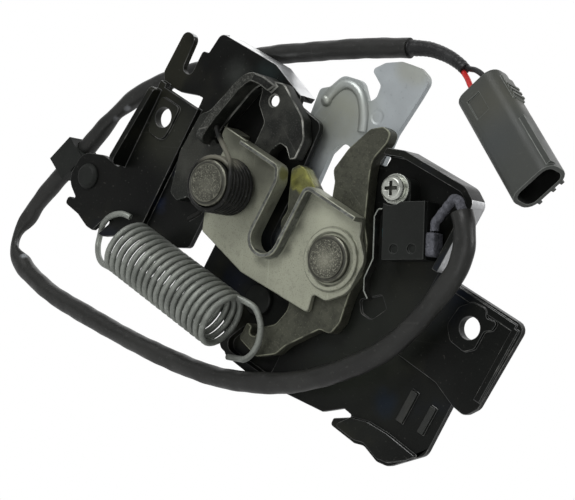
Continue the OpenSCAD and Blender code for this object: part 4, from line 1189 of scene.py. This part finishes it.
def flange_top(n, c):
    return n.z > 0.75 and c.z > 28 and c.x < -20


def pan_side(n, c):
    return n.x > 0.6 and c.x > 50 and c.z > 9


def low_ribs(n, c):
    return -1.15 < c.y < -0.3 and 62 < c.x < 73.4 and -38.4 < c.z < -26.6


def lip_face(n, c):
    return c.y < -9 and (n.y < -0.97 or abs(n.y) < 0.05)


def lever_flange(n, c):
    return n.y < -0.9 and c.y < -11


def leaf_front(n, c):
    return n.y < -0.7


class LATCH_OT_plates(bpy.types.Operator):
    """Rounds and coats the bracket, the cover plate and the levers"""

    bl_idname = "latch.plates"
    bl_label = "Plates"

    def execute(self, context):
        s = sizes()
        # The top flange and the pan's right side get a painted reflection, the low ribs a painted sheen
        dress("bracket", "base_bracket", s.plate_edge, "bracket_coat", "bracket_edge",
              merge=BRACKET_MERGE, paint=[("bracket_painted_highlight", flange_top), ("bracket_painted_highlight", pan_side),
                                          ("bracket_painted_sheen", low_ribs)])
        dress("cover", "cover_plate", s.cover_edge, "cover_zinc", "cover_edge",
              merge=COVER_MERGE, paint=[("lip_zinc", lip_face)])
        dress("fork", "ratchet", s.lever_edge, "fork_steel", "fork_edge", "ratchet",
              merge=LEVER_MERGE)
        dress("release_lever", "pawl", s.lever_edge, "lever_black", "lever_worn", "pawl",
              merge=LEVER_MERGE, paint=[("lever_strip", lever_flange)])
        dress("hook", "safety_hook", s.cover_edge, "hook_zinc", "hook_edge", "safety_hook")
        return {"FINISHED"}


class LATCH_OT_pins(bpy.types.Operator):
    """Turns the riveted pins and their heads"""

    bl_idname = "latch.pins"
    bl_label = "Pins"

    def execute(self, context):
        s = sizes()
        finishes = [make_finish(n) for n in ("pin_face", "pin_rim", "pin_side")]
        pin_r = 4.98

        def finish_of(stretch):
            """Face on both ends, rim on the edges of the front and side on the rest."""
            return 0 if stretch < 2 or stretch > 13 else 1 if stretch in (2, 5, 6) else 2

        for name, node, at in (("fork_pin", "ratchet_pin", RATCHET_AT), ("lever_pin", "pawl_pin", PAWL_AT)):
            low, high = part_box(node)
            front, back = low[1] / MM, high[1] / MM
            r = (high[0] - low[0]) / 2 / MM
            profile = [
                (0, front + 0.1), (r - 2.6, front + 0.04), (r - 1.7, front), (r - 1.35, front + 0.1),
                (r - 1.2, front + 0.5), (r - 0.5, front + 0.62), (r - 0.12, front + 0.85), (r, front + 1.2),
                (r, front + 2.2), (r - 0.35, front + 2.6), (pin_r, front + 2.6), (pin_r, back - 1.4),
                (6.4, back - 1.4), (6.55, back - 1.0), (6.0, back - 0.25), (4.6, back), (0, back),
            ]
            settle(lathe(name, at, profile, finishes, finish_of), "frame", node)
        for name, node in (("hook_rivet", "hook_pin"), ("hook_collar", "hook_spacer"),
                           ("hook_end", "hook_cap")):
            dress(name, node, s.small_edge, "rivet_black", "rivet_black")
        dress("coil_seat", "spring_seat", s.small_edge, "case_plastic", "plastic_edge")
        return {"FINISHED"}


def coil(at, radius, start, steps, y, rise):
    """Turns about an axis along Y, from an angle in degrees, that move on by rise with each turn."""
    points = []
    for i in range(steps):
        a = math.radians(start) + 2 * math.pi * i / TURN_STEPS
        points.append(Vector((at[0] + radius * math.cos(a), y + rise * i / TURN_STEPS,
                              at[1] + radius * math.sin(a))) * MM)
    return points


class LATCH_OT_springs(bpy.types.Operator):
    """Winds the ratchet spring, the pawl spring and the hook's return spring"""

    bl_idname = "latch.springs"
    bl_label = "Springs"

    def execute(self, context):
        s = sizes()
        for name, node, path, diameter, finish, slot in (
                ("fork_spring", "ratchet_spring", self.fork_path(), s.spring_wire, "spring_zinc",
                 "grey_wire"),
                ("lever_spring", "pawl_spring", self.lever_path(), s.coil_wire, "coil_steel", "dark_wire"),
                ("hook_return", "hook_spring", self.hook_path(), s.return_wire, "spring_zinc", "grey_wire")):
            settle(wire(name, path, diameter, make_finish(finish)), "frame", node)
        return {"FINISHED"}

    @staticmethod
    def fork_path():
        """Hook on the left ear, turns about an axis along X, and hook on the ratchet."""
        x0, x1, y, z, r, turns, ear = -53.0, -3.4, -12.6, -42.4, 9.15, 17, LEFT_EAR
        left = spline([(ear + 7.6, -5, -35.6), (ear + 3.6, -5.4, -36.4), (ear - 0.8, -4.8, -39.7),
                       (ear - 4.1, -2.6, -44.1), (ear - 5.9, 0, -47.6), (ear - 6.5, 1.5, -50.4),
                       (ear - 5.1, 1.2, -53.6), (ear - 0.4, -1.8, -55.3), (ear + 6, -6, -55),
                       (x0 - 2, y, z - r - 0.4)], 8)
        steps = turns * TURN_STEPS + TURN_STEPS // 2
        turned = []
        for i in range(steps + 1):
            a = -math.pi / 2 - 2 * math.pi * i / TURN_STEPS
            x = x0 + (x1 - x0) * i / steps
            turned.append(Vector((x, y + r * math.cos(a), z + r * math.sin(a))) * MM)
        right = spline([(x1 + 3.6, y, z + r + 0.6), (4.4, -11.4, -33), (8, -10, -36.8), (9.4, -8.6, -42.3),
                        (8.6, -7.6, -47.2), (6, -6, -50.8), (2.4, -3.6, -52.8), (-2.8, -2.4, -55.2)], 8)
        return left + turned + right

    @staticmethod
    def lever_path():
        """Leg at the cover's edge, turns on the seat, and leg to the pawl's flange."""
        r, turns, y, front = 8.7, 6, -9.15, -21.3
        leg = [Vector((-37.4, y, -22.6)) * MM, Vector((-34.4, y, -18.4)) * MM]
        end = spline([(-21.6, -20.8, 1.8), (-24.6, -19.3, 3.9), (-28.3, -17.3, 5.2), (-34.4, -14.1, 6.5),
                      (-40, -11.7, 8), (-42.9, -10.3, 9.4)], 8)
        return leg + coil(PAWL_AT, r, 215, turns * TURN_STEPS + 15, y, (front - y) / (turns + 0.5)) + end

    @staticmethod
    def hook_path():
        """Leg on the hook, turns round its pin, and leg to the bracket."""
        x, z = HOOK_AT
        hook_back, pin_r, side_gap, round_gap, turns = 6.9, 4, 0.3, 0.6, 2
        thick = sizes().return_wire / MM
        y, r = hook_back + side_gap + thick / 2, pin_r + round_gap + thick / 2
        y_end = y + turns * thick + 0.4
        leg = [Vector(p) * MM for p in ((x, 5.0, z + 11.4), (x, y - 0.5, z + 11.4), (x - 2.6, y, z + 9))]
        end = spline([(x + 9, y_end, z - 10), (x + 16, y_end, z - 5.4), (x + 19.4, y_end - 0.6, z - 3),
                      (x + 20.4, y - 2, z - 2.2), (x + 20.4, 2.35, z - 2.2)], 4)
        return leg + coil(HOOK_AT, r, 150, turns * TURN_STEPS + 8, y, thick * 1.05) + end


class LATCH_OT_switch(bpy.types.Operator):
    """Finishes the bonnet switch, its leaf and its screw"""

    bl_idname = "latch.switch"
    bl_label = "Switch"

    def execute(self, context):
        s = sizes()
        low, high = (v / MM for v in map(Vector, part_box("switch_screw")))
        axis = (low + high) / 2

        def in_cross(n, c):
            return 0.25 < c.y - low.y < 2.4 and math.hypot(c.x - axis.x, c.z - axis.z) < 2.7

        for name, node in (("switch_case", "switch_body"), ("switch_lid", "switch_cover")):
            dress(name, node, s.case_edge, "case_plastic", "plastic_edge")
        dress("plunger", "switch_plunger", s.small_edge, "plunger_teal", "plunger_teal")
        dress("leaf", "switch_leaf", s.leaf_edge, "leaf_dark", "leaf_dark", "leaf",
              paint=[("spring_zinc", leaf_front)])
        # The faces in the screw's cross get painted shade
        dress("screw", "switch_screw", s.small_edge, "screw_zinc", "screw_zinc",
              paint=[("recess_painted_shade", in_cross)])
        dress("washer", "switch_washer", s.thin_edge, "screw_zinc", "screw_zinc")
        dress("foam", "lead_block", s.clip_edge, "foam_grey", "foam_grey")
        return {"FINISHED"}


class LATCH_OT_clip(bpy.types.Operator):
    """Finishes the clip that ties the lead to the left ear"""

    bl_idname = "latch.clip"
    bl_label = "Clip"

    def execute(self, context):
        s = sizes()
        dress("clip", "lead_clip", s.clip_edge, "case_plastic", "plastic_edge")
        dress("stud", "clip_stud", s.stud_edge, "case_plastic", "case_plastic")
        return {"FINISHED"}


class LATCH_PT_panel(bpy.types.Panel):
    """Lists the latch's steps, sizes, colours and stage"""

    bl_idname = "LATCH_PT_panel"
    bl_label = "Bonnet latch"
    bl_space_type = "VIEW_3D"
    bl_region_type = "UI"
    bl_category = "Latch"

    def draw(self, context):
        for operator in STEPS:
            self.layout.operator(operator.bl_idname)
        for group in (context.scene.latch_sizes, context.scene.latch_colours, context.scene.latch_stage):
            for key in group.__annotations__:
                self.layout.prop(group, key)


GROUPS = {"latch_sizes": LatchSizes, "latch_colours": LatchColours, "latch_stage": LatchStage}
STEPS = (LATCH_OT_stage, LATCH_OT_lead, LATCH_OT_plates, LATCH_OT_pins, LATCH_OT_springs, LATCH_OT_switch,
         LATCH_OT_clip)


def register():
    for cls in (*GROUPS.values(), *STEPS, LATCH_PT_panel):
        bpy.utils.register_class(cls)
    for key, cls in GROUPS.items():
        setattr(bpy.types.Scene, key, PointerProperty(type=cls))


def unregister():
    for key in GROUPS:
        delattr(bpy.types.Scene, key)
    for cls in (LATCH_PT_panel, *reversed(STEPS), *GROUPS.values()):
        bpy.utils.unregister_class(cls)


def main():
    register()
    for operator in STEPS:
        group, name = operator.bl_idname.split(".")
        getattr(getattr(bpy.ops, group), name)()


if __name__ == "__main__":
    main()
